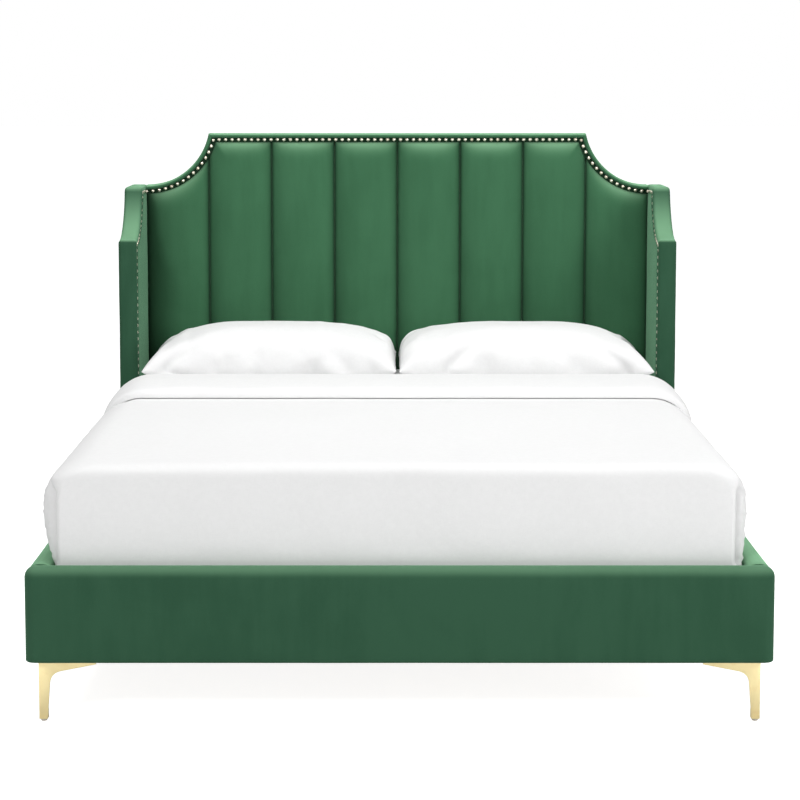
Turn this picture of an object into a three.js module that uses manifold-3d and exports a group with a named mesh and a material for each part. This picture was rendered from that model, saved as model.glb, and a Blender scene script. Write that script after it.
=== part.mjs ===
// Queen-size platform bed: winged, channelled headboard with scooped shoulders, padded
// side rails and footboard, metal corner legs, slatted base, mattress, duvet and pillows.
// Millimetres. X runs across the bed, +Y towards the headboard, +Z up.
// The origin is on the floor under the middle of the whole bed.
// "left" and "right" are as seen by someone who stands at the foot and faces the headboard.
import * as THREE from "three";
import { mergeVertices } from "three/addons/utils/BufferGeometryUtils.js";
import Module from "manifold-3d";

const wasm = await Module();
wasm.setup();

// ---------------------------------------------------------------- driving dimensions
// Fits
const GAP = 0.3; // between faces that touch
const CUT_MARGIN = 20; // how far a cutting solid runs past what it cuts

// Mattress, and the room that the frame leaves around it
const MATTRESS_WIDTH = 1524;
const MATTRESS_LENGTH = 2032;
const MATTRESS_HEIGHT = 254;
const MATTRESS_EDGE = 24; // rounding of its top and bottom edges
const MATTRESS_CORNER = 70; // rounding of its four upright corners
const SIDE_ROOM = 18; // between the mattress and each side rail
const FOOT_ROOM = 13; // between the mattress and the footboard

// Side rails and footboard
const SIDE_THICKNESS = 54; // rails and wings, foam and velvet included
const FOOTBOARD_THICKNESS = 52;
const FOOTBOARD_OVERHANG = 4; // how far its ends stand out past the rails
const RAIL_HEIGHT = 216;
const RAIL_EDGE = 15; // rounding of the padded edges
const FOOTBOARD_END = 22; // rounding of the footboard's upright ends
const PADDING = 14; // foam and velvet on each face of a core

// Headboard
const HEADBOARD_TOP = 1267; // above the floor
const HEAD_THICKNESS = 80; // crown of the channels to the rear face
const BOARD_THICKNESS = 30;
const BACK_COVER = 5;
const CHANNEL_COUNT = 8;
const CHANNEL_CROWN = 17; // how far a channel's middle stands out past its seams
const BORDER_WIDTH = 27; // padded band between the outline and the channels
const BORDER_SET_BACK = 9; // the band's face behind the crown of the channels
const BOARD_INSET = 12; // the board's edge inside the outline

// Wings
const WING_DEPTH = 355; // front edge to rear face
const SHOULDER_DROP = 160; // headboard's top down to the wings' tops
const WING_SCOOP_HEIGHT = 150; // wing's top down to the ledge at its front
const WING_SCOOP_DEPTH = 177;

// Legs
const LEG_HEIGHT = 134;
const LEG_ARM = 129; // length of each arm under the frame
const LEG_TIP = 9; // height of an arm's free end
const LEG_NECK = 27; // width of the foot where it meets the arm
const LEG_NECK_HEIGHT = 105;
const LEG_FOOT = 19; // width of the foot at the bottom
const LEG_FILLET = 24;
const LEG_PLATE = 4; // thickness of the metal
const LEG_FLANGE = 24; // width of the screw flange on top
const LEG_SET_IN = 24; // outer corner of a leg inside the frame's outer faces

// Levelling glides
const GLIDE_HEIGHT = 6;
const GLIDE_RADIUS = 7;
const GLIDE_STEM_RADIUS = 3;
const GLIDE_STEM = 16; // length of stem held in the leg
const GLIDE_PLAY = 0.4; // between stem and socket all round
const GLIDE_ROUND = 12; // sides of a small round piece

// Slatted base
const SLAT_COUNT = 11;
const SLAT_WIDTH = 80;
const SLAT_THICKNESS = 17;
const SLAT_END_ROOM = 3; // between a slat's end and the rail
const SLAT_SET_IN = 62; // middle of the first and last slat from the ends of the base
const LEDGE_WIDTH = 30;
const LEDGE_HEIGHT = 40;
const DECK_HEIGHT = 280; // top of the slats above the floor
const BEAM_WIDTH = 40;
const BEAM_HEIGHT = 60;
const HEAD_RAIL_THICKNESS = 40;
const HANGER_PLATE = 3;
const HANGER_LENGTH = 45;
const HANGER_WING = 22; // how far a hanger's back plate stands out beside the beam

// Middle legs, under the beam
const MIDDLE_LEG_COUNT = 2;
const MIDDLE_LEG_RADIUS = 18;
const MIDDLE_FLANGE_RADIUS = 19.5;
const MIDDLE_FLANGE = 4;
const MIDDLE_FOOT_RADIUS = 20;
const MIDDLE_FOOT = 9;
const MIDDLE_STEM_RADIUS = 5;
const MIDDLE_STEM = 34;
const MIDDLE_ROUND = 16;

// Brackets that join rails, wings, footboard and head rail on the inside
const BRACKET_ARM = 62;
const BRACKET_HEIGHT = 72;
const BRACKET_PLATE = 4;
const BRACKET_DROP = 6; // below the ledge
const JOINT_PLATE_LENGTH = 150;

// Duvet and pillows
const DUVET_LOFT = 45;
const DUVET_TUCK = 46; // how far it reaches down beside the mattress, below the rails' top
const DUVET_PLAY = 2; // between the tucked cloth and what it is tucked beside
const DUVET_BULGE = 15; // how far its sides stand out past the rails' inner faces
const DUVET_FOOT_BULGE = 7; // the same at the footboard
const DUVET_SHOULDER = 64; // rounding over the mattress's edges
const FOLD_LENGTH = 268; // of the part turned back
const FOLD_LOFT = 36;
const FOLD_OVERHANG = 20; // the fold's sides outside the duvet's
const FOLD_DROP = 76; // the fold's sides below the duvet's top
const PILLOW_DEPTH = 506;
const PILLOW_HEIGHT = 171;
const PILLOW_SEAM = 54; // seam above the mattress
const PILLOW_RIM = 9; // thickness at the seam
const PILLOW_MIDDLE_GAP = 7; // between the two pillows
const PILLOW_SIDE_GAP = 32.5; // between a pillow and its wing
const PILLOW_HEAD_GAP = 4; // between a pillow and the headboard
const PILLOW_TO_FOLD = 209; // from the pillows' front edges to the duvet's fold
const SHEET_ROOM = 2; // for the fitted sheet on the mattress

// ---------------------------------------------------------------- places that follow
const INNER_X = MATTRESS_WIDTH / 2 + SIDE_ROOM;
const OUTER_X = INNER_X + SIDE_THICKNESS;
const FOOT_X = OUTER_X + FOOTBOARD_OVERHANG;
const BED_LENGTH = FOOTBOARD_THICKNESS + FOOT_ROOM + MATTRESS_LENGTH + HEAD_THICKNESS;
const FRONT_Y = -BED_LENGTH / 2;
const BACK_Y = BED_LENGTH / 2;
const FOOT_INNER_Y = FRONT_Y + FOOTBOARD_THICKNESS;
const CHANNEL_Y = BACK_Y - HEAD_THICKNESS;
const WING_FRONT_Y = BACK_Y - WING_DEPTH;
const BOARD_BACK_Y = BACK_Y - BACK_COVER - GAP;
const BOARD_FRONT_Y = BOARD_BACK_Y - BOARD_THICKNESS;
const BORDER_Y = CHANNEL_Y + BORDER_SET_BACK;
const HEAD_RAIL_Y = BOARD_FRONT_Y - GAP - HEAD_RAIL_THICKNESS;

const WING_TOP = HEADBOARD_TOP - SHOULDER_DROP;
const WING_LEDGE = WING_TOP - WING_SCOOP_HEIGHT;
const FRAME_BOTTOM = LEG_HEIGHT + GLIDE_HEIGHT;
const RAIL_TOP = FRAME_BOTTOM + RAIL_HEIGHT;
const LEDGE_TOP = DECK_HEIGHT - SLAT_THICKNESS - GAP;
const LEDGE_BOTTOM = LEDGE_TOP - LEDGE_HEIGHT;
const MATTRESS_BOTTOM = DECK_HEIGHT + GAP;
const MATTRESS_TOP = MATTRESS_BOTTOM + MATTRESS_HEIGHT;
const DUVET_TOP = MATTRESS_TOP + DUVET_LOFT;
const BRACKET_TOP = LEDGE_BOTTOM - BRACKET_DROP;

const MATTRESS_FRONT_Y = FOOT_INNER_Y + FOOT_ROOM;
const PILLOW_WIDTH = INNER_X - PILLOW_SIDE_GAP - PILLOW_MIDDLE_GAP / 2;
const PILLOW_Y = CHANNEL_Y - PILLOW_HEAD_GAP - PILLOW_DEPTH / 2;
const FOLD_END_Y = PILLOW_Y - PILLOW_DEPTH / 2 - PILLOW_TO_FOLD;
const FOLD_START_Y = FOLD_END_Y - FOLD_LENGTH;

const SIDES = [
  ["left", -1],
  ["right", 1],
];

// ---------------------------------------------------------------- finishes
const FINISHES = {
  velvet: { color: 0x2f6344, roughness: 0.85, metalness: 0 },
  channel: { color: 0x386f4c, roughness: 0.85, metalness: 0 },
  lining: { color: 0x23262a, roughness: 0.95, metalness: 0 },
  plywood: { color: 0xc9a97a, roughness: 0.7, metalness: 0 },
  pine: { color: 0xd8b988, roughness: 0.65, metalness: 0 },
  steel: { color: 0x2b2d30, roughness: 0.45, metalness: 0.9 },
  gold: { color: 0xe8c983, roughness: 0.3, metalness: 1 },
  nylon: { color: 0xcfcac0, roughness: 0.6, metalness: 0 },
  ticking: { color: 0xf2f1ee, roughness: 0.9, metalness: 0 },
  linen: { color: 0xf7f7f7, roughness: 0.9, metalness: 0 },
};

const bed = new THREE.Group();

function addMesh(group, name, finish, geometry) {
  const mesh = new THREE.Mesh(geometry, new THREE.MeshStandardMaterial(FINISHES[finish]));
  mesh.name = name;
  group.add(mesh);
  return mesh;
}

function addGroup(name) {
  const group = new THREE.Group();
  group.name = name;
  bed.add(group);
  return group;
}

// ---------------------------------------------------------------- solids
function block(x0, x1, y0, y1, z0, z1) {
  const geometry = new THREE.BoxGeometry(x1 - x0, y1 - y0, z1 - z0);
  return geometry.translate((x0 + x1) / 2, (y0 + y1) / 2, (z0 + z1) / 2);
}

function extrude(shape, depth, segments) {
  return new THREE.ExtrudeGeometry(shape, { depth, bevelEnabled: false, curveSegments: segments });
}

// A shape drawn in X and Z, carried along Y
function alongY(shape, y0, y1, segments = 10) {
  const turn = new THREE.Matrix4().makeBasis(
    new THREE.Vector3(1, 0, 0),
    new THREE.Vector3(0, 0, 1),
    new THREE.Vector3(0, -1, 0),
  );
  return extrude(shape, y1 - y0, segments).applyMatrix4(turn).translate(0, y1, 0);
}

// A shape drawn in Y and Z, carried along X
function alongX(shape, x0, x1, segments = 10) {
  const turn = new THREE.Matrix4().makeBasis(
    new THREE.Vector3(0, 1, 0),
    new THREE.Vector3(0, 0, 1),
    new THREE.Vector3(1, 0, 0),
  );
  return extrude(shape, x1 - x0, segments).applyMatrix4(turn).translate(x0, 0, 0);
}

// A shape drawn in X and Y, carried along Z
function alongZ(shape, z0, z1, segments = 10) {
  return extrude(shape, z1 - z0, segments).translate(0, 0, z0);
}

// A profile of radius and height, turned about a vertical axis
function turned(profile, sides) {
  const points = profile.map(([radius, height]) => new THREE.Vector2(radius, height));
  return new THREE.LatheGeometry(points, sides).rotateX(Math.PI / 2);
}

function toSolid(geometry) {
  const bare = new THREE.BufferGeometry();
  bare.setAttribute("position", geometry.getAttribute("position").clone());
  bare.setIndex(geometry.getIndex());
  const merged = mergeVertices(bare, 1e-4);
  const vertProperties = new Float32Array(merged.getAttribute("position").array);
  const triVerts = new Uint32Array(merged.getIndex().array);
  return new wasm.Manifold(new wasm.Mesh({ numProp: 3, vertProperties, triVerts }));
}

function toGeometry(solid) {
  const { vertProperties, triVerts } = solid.getMesh();
  const geometry = new THREE.BufferGeometry();
  geometry.setAttribute("position", new THREE.BufferAttribute(new Float32Array(vertProperties), 3));
  geometry.setIndex(new THREE.BufferAttribute(new Uint32Array(triVerts), 1));
  const loose = geometry.toNonIndexed();
  loose.computeVertexNormals();
  return loose;
}

function combine(method, first, others) {
  const start = toSolid(first);
  return toGeometry(others.reduce((solid, other) => solid[method](toSolid(other)), start));
}

const cut = (base, ...tools) => combine("subtract", base, tools);
const join = (base, ...others) => combine("add", base, others);
const overlap = (base, ...others) => combine("intersect", base, others);

// ---------------------------------------------------------------- outlines
// Radius of a scoop that starts level, and rises by height over run
const scoopRadius = (run, height) => (run * run + height * height) / (2 * height);

const CHANNEL_WIDTH = (2 * INNER_X) / CHANNEL_COUNT;
const SHOULDER_RADIUS = scoopRadius(CHANNEL_WIDTH, SHOULDER_DROP);
const WING_RADIUS = scoopRadius(WING_SCOOP_DEPTH, WING_SCOOP_HEIGHT);

// Headboard from the front, inset all round its top by inset, between -side and +side.
// The shoulders' corners stand above the outermost seams.
function headboardOutline(inset, side, bottom) {
  const top = HEADBOARD_TOP - inset;
  const radius = SHOULDER_RADIUS + inset;
  const centre = WING_TOP + SHOULDER_RADIUS;
  const reach = Math.sqrt(radius ** 2 - (centre - top) ** 2);
  const corner = Math.atan2(top - centre, -reach);
  const start = -Math.PI / 2 - Math.asin(Math.max(0, INNER_X - side) / radius);
  const shape = new THREE.Shape();
  shape.moveTo(-side, bottom);
  shape.lineTo(side, bottom);
  shape.lineTo(side, centre + radius * Math.sin(start));
  shape.absarc(INNER_X, centre, radius, start, corner, true);
  shape.lineTo(-INNER_X + reach, top);
  shape.absarc(-INNER_X, centre, radius, -Math.PI - corner, -Math.PI - start, true);
  shape.lineTo(-side, centre + radius * Math.sin(start));
  return shape;
}

// Wing from the side, inset by inset from its front, top and back
function wingOutline(inset, bottom) {
  const front = WING_FRONT_Y + inset;
  const top = WING_TOP - inset;
  const radius = WING_RADIUS + inset;
  const centre = WING_LEDGE + WING_RADIUS;
  const reach = Math.sqrt(radius ** 2 - (centre - top) ** 2);
  const start = Math.atan2(top - centre, reach);
  const ledge = -Math.acos(inset / radius);
  const shape = new THREE.Shape();
  shape.moveTo(front, bottom);
  shape.lineTo(BACK_Y - inset, bottom);
  shape.lineTo(BACK_Y - inset, top);
  shape.lineTo(WING_FRONT_Y + reach, top);
  shape.absarc(WING_FRONT_Y, centre, radius, start, ledge, true);
  return shape;
}

// Upright padded section with rounded top corners, open below around a core
function padSection(inner, outer) {
  const shape = new THREE.Shape();
  const pocketTop = RAIL_TOP - PADDING;
  shape.moveTo(inner, FRAME_BOTTOM);
  shape.lineTo(inner + PADDING, FRAME_BOTTOM);
  shape.lineTo(inner + PADDING, pocketTop);
  shape.lineTo(outer - PADDING, pocketTop);
  shape.lineTo(outer - PADDING, FRAME_BOTTOM);
  shape.lineTo(outer, FRAME_BOTTOM);
  shape.lineTo(outer, RAIL_TOP - RAIL_EDGE);
  shape.absarc(outer - RAIL_EDGE, RAIL_TOP - RAIL_EDGE, RAIL_EDGE, 0, Math.PI / 2, false);
  shape.absarc(inner + RAIL_EDGE, RAIL_TOP - RAIL_EDGE, RAIL_EDGE, Math.PI / 2, Math.PI, false);
  return shape;
}

// ---------------------------------------------------------------- headboard
function channelPad(index) {
  const left = -INNER_X + index * CHANNEL_WIDTH + GAP;
  const right = left + CHANNEL_WIDTH - 2 * GAP;
  const back = BOARD_FRONT_Y - GAP;
  const seam = CHANNEL_Y + CHANNEL_CROWN;
  const section = new THREE.Shape();
  section.moveTo(left, back);
  section.lineTo(left, seam);
  section.quadraticCurveTo((left + right) / 2, seam - 2 * CHANNEL_CROWN, right, seam);
  section.lineTo(right, back);
  const bottom = LEDGE_TOP + GAP;
  const outline = headboardOutline(BORDER_WIDTH + GAP, INNER_X + CUT_MARGIN, bottom - CUT_MARGIN);
  return overlap(
    alongZ(section, bottom, HEADBOARD_TOP, 8),
    alongY(outline, CHANNEL_Y - CUT_MARGIN, BOARD_FRONT_Y + CUT_MARGIN, 12),
  );
}

function headboardBorder() {
  const side = INNER_X - GAP;
  const wide = side + CUT_MARGIN;
  const low = FRAME_BOTTOM - CUT_MARGIN;
  const whole = headboardOutline(0, side, FRAME_BOTTOM + CUT_MARGIN);
  const inside = headboardOutline(BORDER_WIDTH, wide, low);
  const boardRoom = headboardOutline(BOARD_INSET - GAP, wide, low);
  return cut(
    alongY(whole, BORDER_Y, BOARD_BACK_Y, 12),
    alongY(inside, BORDER_Y - CUT_MARGIN, BOARD_FRONT_Y, 12),
    alongY(boardRoom, BOARD_FRONT_Y - GAP, BACK_Y, 12),
  );
}

function buildHeadboard() {
  const group = addGroup("headboard");
  const side = INNER_X - GAP;
  const board = headboardOutline(BOARD_INSET, side, FRAME_BOTTOM);
  addMesh(group, "headboard_board", "plywood", alongY(board, BOARD_FRONT_Y, BOARD_BACK_Y, 12));
  const back = headboardOutline(0, side, FRAME_BOTTOM);
  addMesh(group, "headboard_back_cover", "velvet", alongY(back, BOARD_BACK_Y + GAP, BACK_Y, 12));
  addMesh(group, "headboard_border", "velvet", headboardBorder());
  for (let index = 0; index < CHANNEL_COUNT; index++) {
    addMesh(group, `channel_pad_${index + 1}`, "channel", channelPad(index));
  }
  const railTop = LEDGE_TOP - GAP;
  const rail = block(-side, side, HEAD_RAIL_Y, BOARD_FRONT_Y - GAP, FRAME_BOTTOM, railTop);
  addMesh(group, "head_rail", "pine", rail);
}

// ---------------------------------------------------------------- wings
function buildWing(name, sign) {
  const group = addGroup(`wing_${name}`);
  const low = FRAME_BOTTOM - CUT_MARGIN;
  const whole = alongX(wingOutline(0, FRAME_BOTTOM), INNER_X, OUTER_X);
  const pocket = alongX(wingOutline(PADDING, low), INNER_X + PADDING, OUTER_X - PADDING);
  const cover = cut(whole, pocket);
  const coreOutline = wingOutline(PADDING + GAP, FRAME_BOTTOM);
  const core = alongX(coreOutline, INNER_X + PADDING + GAP, OUTER_X - PADDING - GAP);
  const shift = sign > 0 ? 0 : -INNER_X - OUTER_X;
  addMesh(group, `wing_cover_${name}`, "velvet", cover).position.x = shift;
  addMesh(group, `wing_core_${name}`, "plywood", core).position.x = shift;
}

// ---------------------------------------------------------------- side rails and footboard
function buildRail(name, sign) {
  const group = addGroup(`rail_${name}`);
  const from = FOOT_INNER_Y + GAP;
  const to = WING_FRONT_Y - GAP;
  const cover = alongY(padSection(INNER_X, OUTER_X), from, to, 5);
  const coreTop = RAIL_TOP - PADDING - GAP;
  const coreInner = INNER_X + PADDING + GAP;
  const coreOuter = OUTER_X - PADDING - GAP;
  const core = block(coreInner, coreOuter, from, to, FRAME_BOTTOM, coreTop);
  const shift = sign > 0 ? 0 : -INNER_X - OUTER_X;
  addMesh(group, `rail_cover_${name}`, "velvet", cover).position.x = shift;
  addMesh(group, `rail_core_${name}`, "pine", core).position.x = shift;
  const outerEdge = sign * (INNER_X - GAP);
  const innerEdge = sign * (INNER_X - GAP - LEDGE_WIDTH);
  const x0 = Math.min(outerEdge, innerEdge);
  const x1 = Math.max(outerEdge, innerEdge);
  const ledge = block(x0, x1, from, HEAD_RAIL_Y - GAP, LEDGE_BOTTOM, LEDGE_TOP);
  addMesh(group, `slat_ledge_${name}`, "pine", ledge);
}

// Plan of the footboard, with its two front corners rounded
function footboardPlan() {
  const round = FOOTBOARD_END;
  const shape = new THREE.Shape();
  shape.moveTo(-FOOT_X, FOOT_INNER_Y);
  shape.lineTo(-FOOT_X, FRONT_Y + round);
  shape.absarc(-FOOT_X + round, FRONT_Y + round, round, Math.PI, Math.PI * 1.5, false);
  shape.absarc(FOOT_X - round, FRONT_Y + round, round, -Math.PI / 2, 0, false);
  shape.lineTo(FOOT_X, FOOT_INNER_Y);
  return shape;
}

function footboardSection() {
  const round = RAIL_EDGE;
  const top = RAIL_TOP;
  const shape = new THREE.Shape();
  shape.moveTo(FRONT_Y, FRAME_BOTTOM);
  shape.lineTo(FOOT_INNER_Y, FRAME_BOTTOM);
  shape.lineTo(FOOT_INNER_Y, top - round);
  shape.absarc(FOOT_INNER_Y - round, top - round, round, 0, Math.PI / 2, false);
  shape.absarc(FRONT_Y + round, top - round, round, Math.PI / 2, Math.PI, false);
  return shape;
}

function buildFootboard() {
  const group = addGroup("footboard");
  const whole = overlap(
    alongZ(footboardPlan(), FRAME_BOTTOM, RAIL_TOP + CUT_MARGIN, 6),
    alongX(footboardSection(), -FOOT_X - CUT_MARGIN, FOOT_X + CUT_MARGIN, 5),
  );
  const end = FOOT_X - PADDING;
  const from = FRONT_Y + PADDING;
  const to = FOOT_INNER_Y - PADDING;
  const top = RAIL_TOP - PADDING;
  const pocket = block(-end, end, from, to, FRAME_BOTTOM - CUT_MARGIN, top);
  addMesh(group, "footboard_cover", "velvet", cut(whole, pocket));
  const core = block(-end + GAP, end - GAP, from + GAP, to - GAP, FRAME_BOTTOM, top - GAP);
  addMesh(group, "footboard_core", "pine", core);
}

// ---------------------------------------------------------------- slatted base
function beamHanger(sign) {
  // Saddle under and beside the beam, with a back plate; the plate's face is at y = 0
  const inner = BEAM_WIDTH / 2 + GAP;
  const outer = inner + HANGER_PLATE;
  const floor = LEDGE_TOP - BEAM_HEIGHT - GAP;
  const section = new THREE.Shape();
  section.moveTo(-outer, floor - HANGER_PLATE);
  section.lineTo(outer, floor - HANGER_PLATE);
  section.lineTo(outer, LEDGE_TOP);
  section.lineTo(inner, LEDGE_TOP);
  section.lineTo(inner, floor);
  section.lineTo(-inner, floor);
  section.lineTo(-inner, LEDGE_TOP);
  section.lineTo(-outer, LEDGE_TOP);
  const from = sign > 0 ? HANGER_PLATE / 2 : -HANGER_LENGTH;
  const to = sign > 0 ? HANGER_LENGTH : -HANGER_PLATE / 2;
  const plateEnds = [0, sign * HANGER_PLATE];
  const wing = outer + HANGER_WING;
  const plateFrom = Math.min(...plateEnds);
  const plateTo = Math.max(...plateEnds);
  const plate = block(-wing, wing, plateFrom, plateTo, floor - HANGER_PLATE, LEDGE_TOP);
  return join(alongY(section, from, to, 1), plate);
}

function middleLeg() {
  const top = LEDGE_TOP - BEAM_HEIGHT - GAP;
  const socket = MIDDLE_STEM_RADIUS + GLIDE_PLAY;
  const ceiling = MIDDLE_FOOT + MIDDLE_STEM + GAP;
  return turned(
    [
      [0, ceiling],
      [socket, ceiling],
      [socket, MIDDLE_FOOT],
      [MIDDLE_LEG_RADIUS, MIDDLE_FOOT],
      [MIDDLE_LEG_RADIUS, top - MIDDLE_FLANGE],
      [MIDDLE_FLANGE_RADIUS, top - MIDDLE_FLANGE],
      [MIDDLE_FLANGE_RADIUS, top],
      [0, top],
    ],
    MIDDLE_ROUND,
  );
}

function glide(radius, height, stemRadius, stemLength, sides) {
  const chamfer = height / 4;
  return turned(
    [
      [0, 0],
      [radius - chamfer, 0],
      [radius, chamfer],
      [radius, height - GAP],
      [stemRadius, height - GAP],
      [stemRadius, height + stemLength],
      [0, height + stemLength],
    ],
    sides,
  );
}

function buildBase() {
  const group = addGroup("base");
  const length = HEAD_RAIL_Y - FOOT_INNER_Y;
  const slatEnd = INNER_X - SLAT_END_ROOM;
  const pitch = (length - 2 * SLAT_SET_IN) / (SLAT_COUNT - 1);
  for (let index = 0; index < SLAT_COUNT; index++) {
    const slat = block(-slatEnd, slatEnd, -SLAT_WIDTH / 2, SLAT_WIDTH / 2, 0, SLAT_THICKNESS);
    const name = `slat_${String(index + 1).padStart(2, "0")}`;
    const mesh = addMesh(group, name, "pine", slat);
    mesh.position.set(0, FOOT_INNER_Y + SLAT_SET_IN + index * pitch, LEDGE_TOP + GAP);
  }
  const beamEnd = GAP + HANGER_PLATE + GAP;
  const beamHalf = BEAM_WIDTH / 2;
  const beamBottom = LEDGE_TOP - BEAM_HEIGHT;
  const beamFrom = FOOT_INNER_Y + beamEnd;
  const beamTo = HEAD_RAIL_Y - beamEnd;
  const beam = block(-beamHalf, beamHalf, beamFrom, beamTo, beamBottom, LEDGE_TOP);
  addMesh(group, "centre_beam", "pine", beam);
  addMesh(group, "beam_hanger_foot", "steel", beamHanger(1)).position.y = FOOT_INNER_Y + GAP;
  addMesh(group, "beam_hanger_head", "steel", beamHanger(-1)).position.y = HEAD_RAIL_Y - GAP;
  for (let index = 0; index < MIDDLE_LEG_COUNT; index++) {
    const share = (index + 1) / (MIDDLE_LEG_COUNT + 1);
    const y = FOOT_INNER_Y + share * length;
    const number = index + 1;
    addMesh(group, `middle_leg_${number}`, "steel", middleLeg()).position.y = y;
    const foot = glide(MIDDLE_FOOT_RADIUS, MIDDLE_FOOT, MIDDLE_STEM_RADIUS, MIDDLE_STEM, MIDDLE_ROUND);
    addMesh(group, `middle_glide_${number}`, "nylon", foot).position.y = y;
  }
}

// ---------------------------------------------------------------- brackets
function buildBrackets() {
  const group = addGroup("brackets");
  const bottom = BRACKET_TOP - BRACKET_HEIGHT;
  const plan = new THREE.Shape();
  plan.moveTo(0, 0);
  plan.lineTo(BRACKET_ARM, 0);
  plan.lineTo(BRACKET_ARM, BRACKET_PLATE);
  plan.lineTo(BRACKET_PLATE, BRACKET_PLATE);
  plan.lineTo(BRACKET_PLATE, BRACKET_ARM);
  plan.lineTo(0, BRACKET_ARM);
  const x = INNER_X - GAP;
  const corners = [
    ["front_left", -x, FOOT_INNER_Y + GAP, 0],
    ["front_right", x, FOOT_INNER_Y + GAP, Math.PI / 2],
    ["rear_right", x, HEAD_RAIL_Y - GAP, Math.PI],
    ["rear_left", -x, HEAD_RAIL_Y - GAP, -Math.PI / 2],
  ];
  for (const [name, cornerX, cornerY, turn] of corners) {
    const bracket = addMesh(group, `bracket_${name}`, "steel", alongZ(plan, 0, BRACKET_HEIGHT, 1));
    bracket.position.set(cornerX, cornerY, bottom);
    bracket.rotation.z = turn;
  }
  for (const [name, sign] of SIDES) {
    const half = JOINT_PLATE_LENGTH / 2;
    const plate = block(-BRACKET_PLATE / 2, BRACKET_PLATE / 2, -half, half, bottom, BRACKET_TOP);
    const mesh = addMesh(group, `joint_plate_${name}`, "steel", plate);
    mesh.position.set(sign * (INNER_X - GAP - BRACKET_PLATE / 2), WING_FRONT_Y, 0);
  }
}

// ---------------------------------------------------------------- corner legs
// One face of a leg: a slender foot that sweeps into a long arm under the frame
function legFace() {
  const armSlope = (LEG_HEIGHT - LEG_TIP - LEG_NECK_HEIGHT) / (LEG_ARM - LEG_NECK);
  const footLean = (LEG_NECK - LEG_FOOT) / LEG_NECK_HEIGHT;
  const shape = new THREE.Shape();
  shape.moveTo(0, 0);
  shape.lineTo(LEG_FOOT, 0);
  shape.lineTo(LEG_NECK - footLean * LEG_FILLET, LEG_NECK_HEIGHT - LEG_FILLET);
  shape.quadraticCurveTo(
    LEG_NECK,
    LEG_NECK_HEIGHT,
    LEG_NECK + LEG_FILLET,
    LEG_NECK_HEIGHT + armSlope * LEG_FILLET,
  );
  shape.lineTo(LEG_ARM, LEG_HEIGHT - LEG_TIP);
  shape.lineTo(LEG_ARM, LEG_HEIGHT);
  shape.lineTo(0, LEG_HEIGHT);
  return shape;
}

// A leg stands with its outer corner at the origin and its arms along +X and +Y
function cornerLeg() {
  const top = LEG_HEIGHT - GAP;
  const faceX = alongY(legFace(), 0, LEG_PLATE, 6);
  const faceY = alongX(legFace(), 0, LEG_PLATE, 6);
  const trim = block(-1, LEG_ARM + 1, -1, LEG_ARM + 1, top, LEG_HEIGHT + 1);
  const flangeX = block(0, LEG_ARM, 0, LEG_FLANGE, top - LEG_PLATE, top);
  const flangeY = block(0, LEG_FLANGE, 0, LEG_ARM, top - LEG_PLATE, top);
  const boss = block(0, LEG_FOOT, 0, LEG_FOOT, 0, GLIDE_STEM + LEG_PLATE);
  const socketRadius = GLIDE_STEM_RADIUS + GLIDE_PLAY;
  const socketTop = GLIDE_STEM + GAP;
  const socket = turned(
    [
      [0, -1],
      [socketRadius, -1],
      [socketRadius, socketTop],
      [0, socketTop],
    ],
    GLIDE_ROUND,
  ).translate(LEG_FOOT / 2, LEG_FOOT / 2, 0);
  return cut(join(faceX, faceY, flangeX, flangeY, boss), trim, socket);
}

function buildLegs() {
  const x = OUTER_X - LEG_SET_IN;
  const y = BACK_Y - LEG_SET_IN;
  const corners = [
    ["front_left", -x, -y, 0],
    ["front_right", x, -y, Math.PI / 2],
    ["rear_right", x, y, Math.PI],
    ["rear_left", -x, y, -Math.PI / 2],
  ];
  for (const [name, cornerX, cornerY, turn] of corners) {
    const group = addGroup(`corner_${name}`);
    group.position.set(cornerX, cornerY, 0);
    group.rotation.z = turn;
    addMesh(group, `leg_${name}`, "gold", cornerLeg()).position.z = GLIDE_HEIGHT;
    const foot = glide(GLIDE_RADIUS, GLIDE_HEIGHT, GLIDE_STEM_RADIUS, GLIDE_STEM, GLIDE_ROUND);
    const mesh = addMesh(group, `glide_${name}`, "nylon", foot);
    mesh.position.set(LEG_FOOT / 2, LEG_FOOT / 2, 0);
  }
}

// ---------------------------------------------------------------- mattress and bedding
function mattress() {
  const round = MATTRESS_CORNER - MATTRESS_EDGE;
  const x = MATTRESS_WIDTH / 2 - MATTRESS_EDGE;
  const y = MATTRESS_LENGTH / 2 - MATTRESS_EDGE;
  const shape = new THREE.Shape();
  shape.absarc(x - round, y - round, round, 0, Math.PI / 2, false);
  shape.absarc(-x + round, y - round, round, Math.PI / 2, Math.PI, false);
  shape.absarc(-x + round, -y + round, round, Math.PI, Math.PI * 1.5, false);
  shape.absarc(x - round, -y + round, round, Math.PI * 1.5, Math.PI * 2, false);
  const geometry = new THREE.ExtrudeGeometry(shape, {
    depth: MATTRESS_HEIGHT - 2 * MATTRESS_EDGE,
    bevelThickness: MATTRESS_EDGE,
    bevelSize: MATTRESS_EDGE,
    bevelSegments: 3,
    curveSegments: 5,
  });
  return geometry.translate(0, 0, MATTRESS_EDGE);
}

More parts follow.
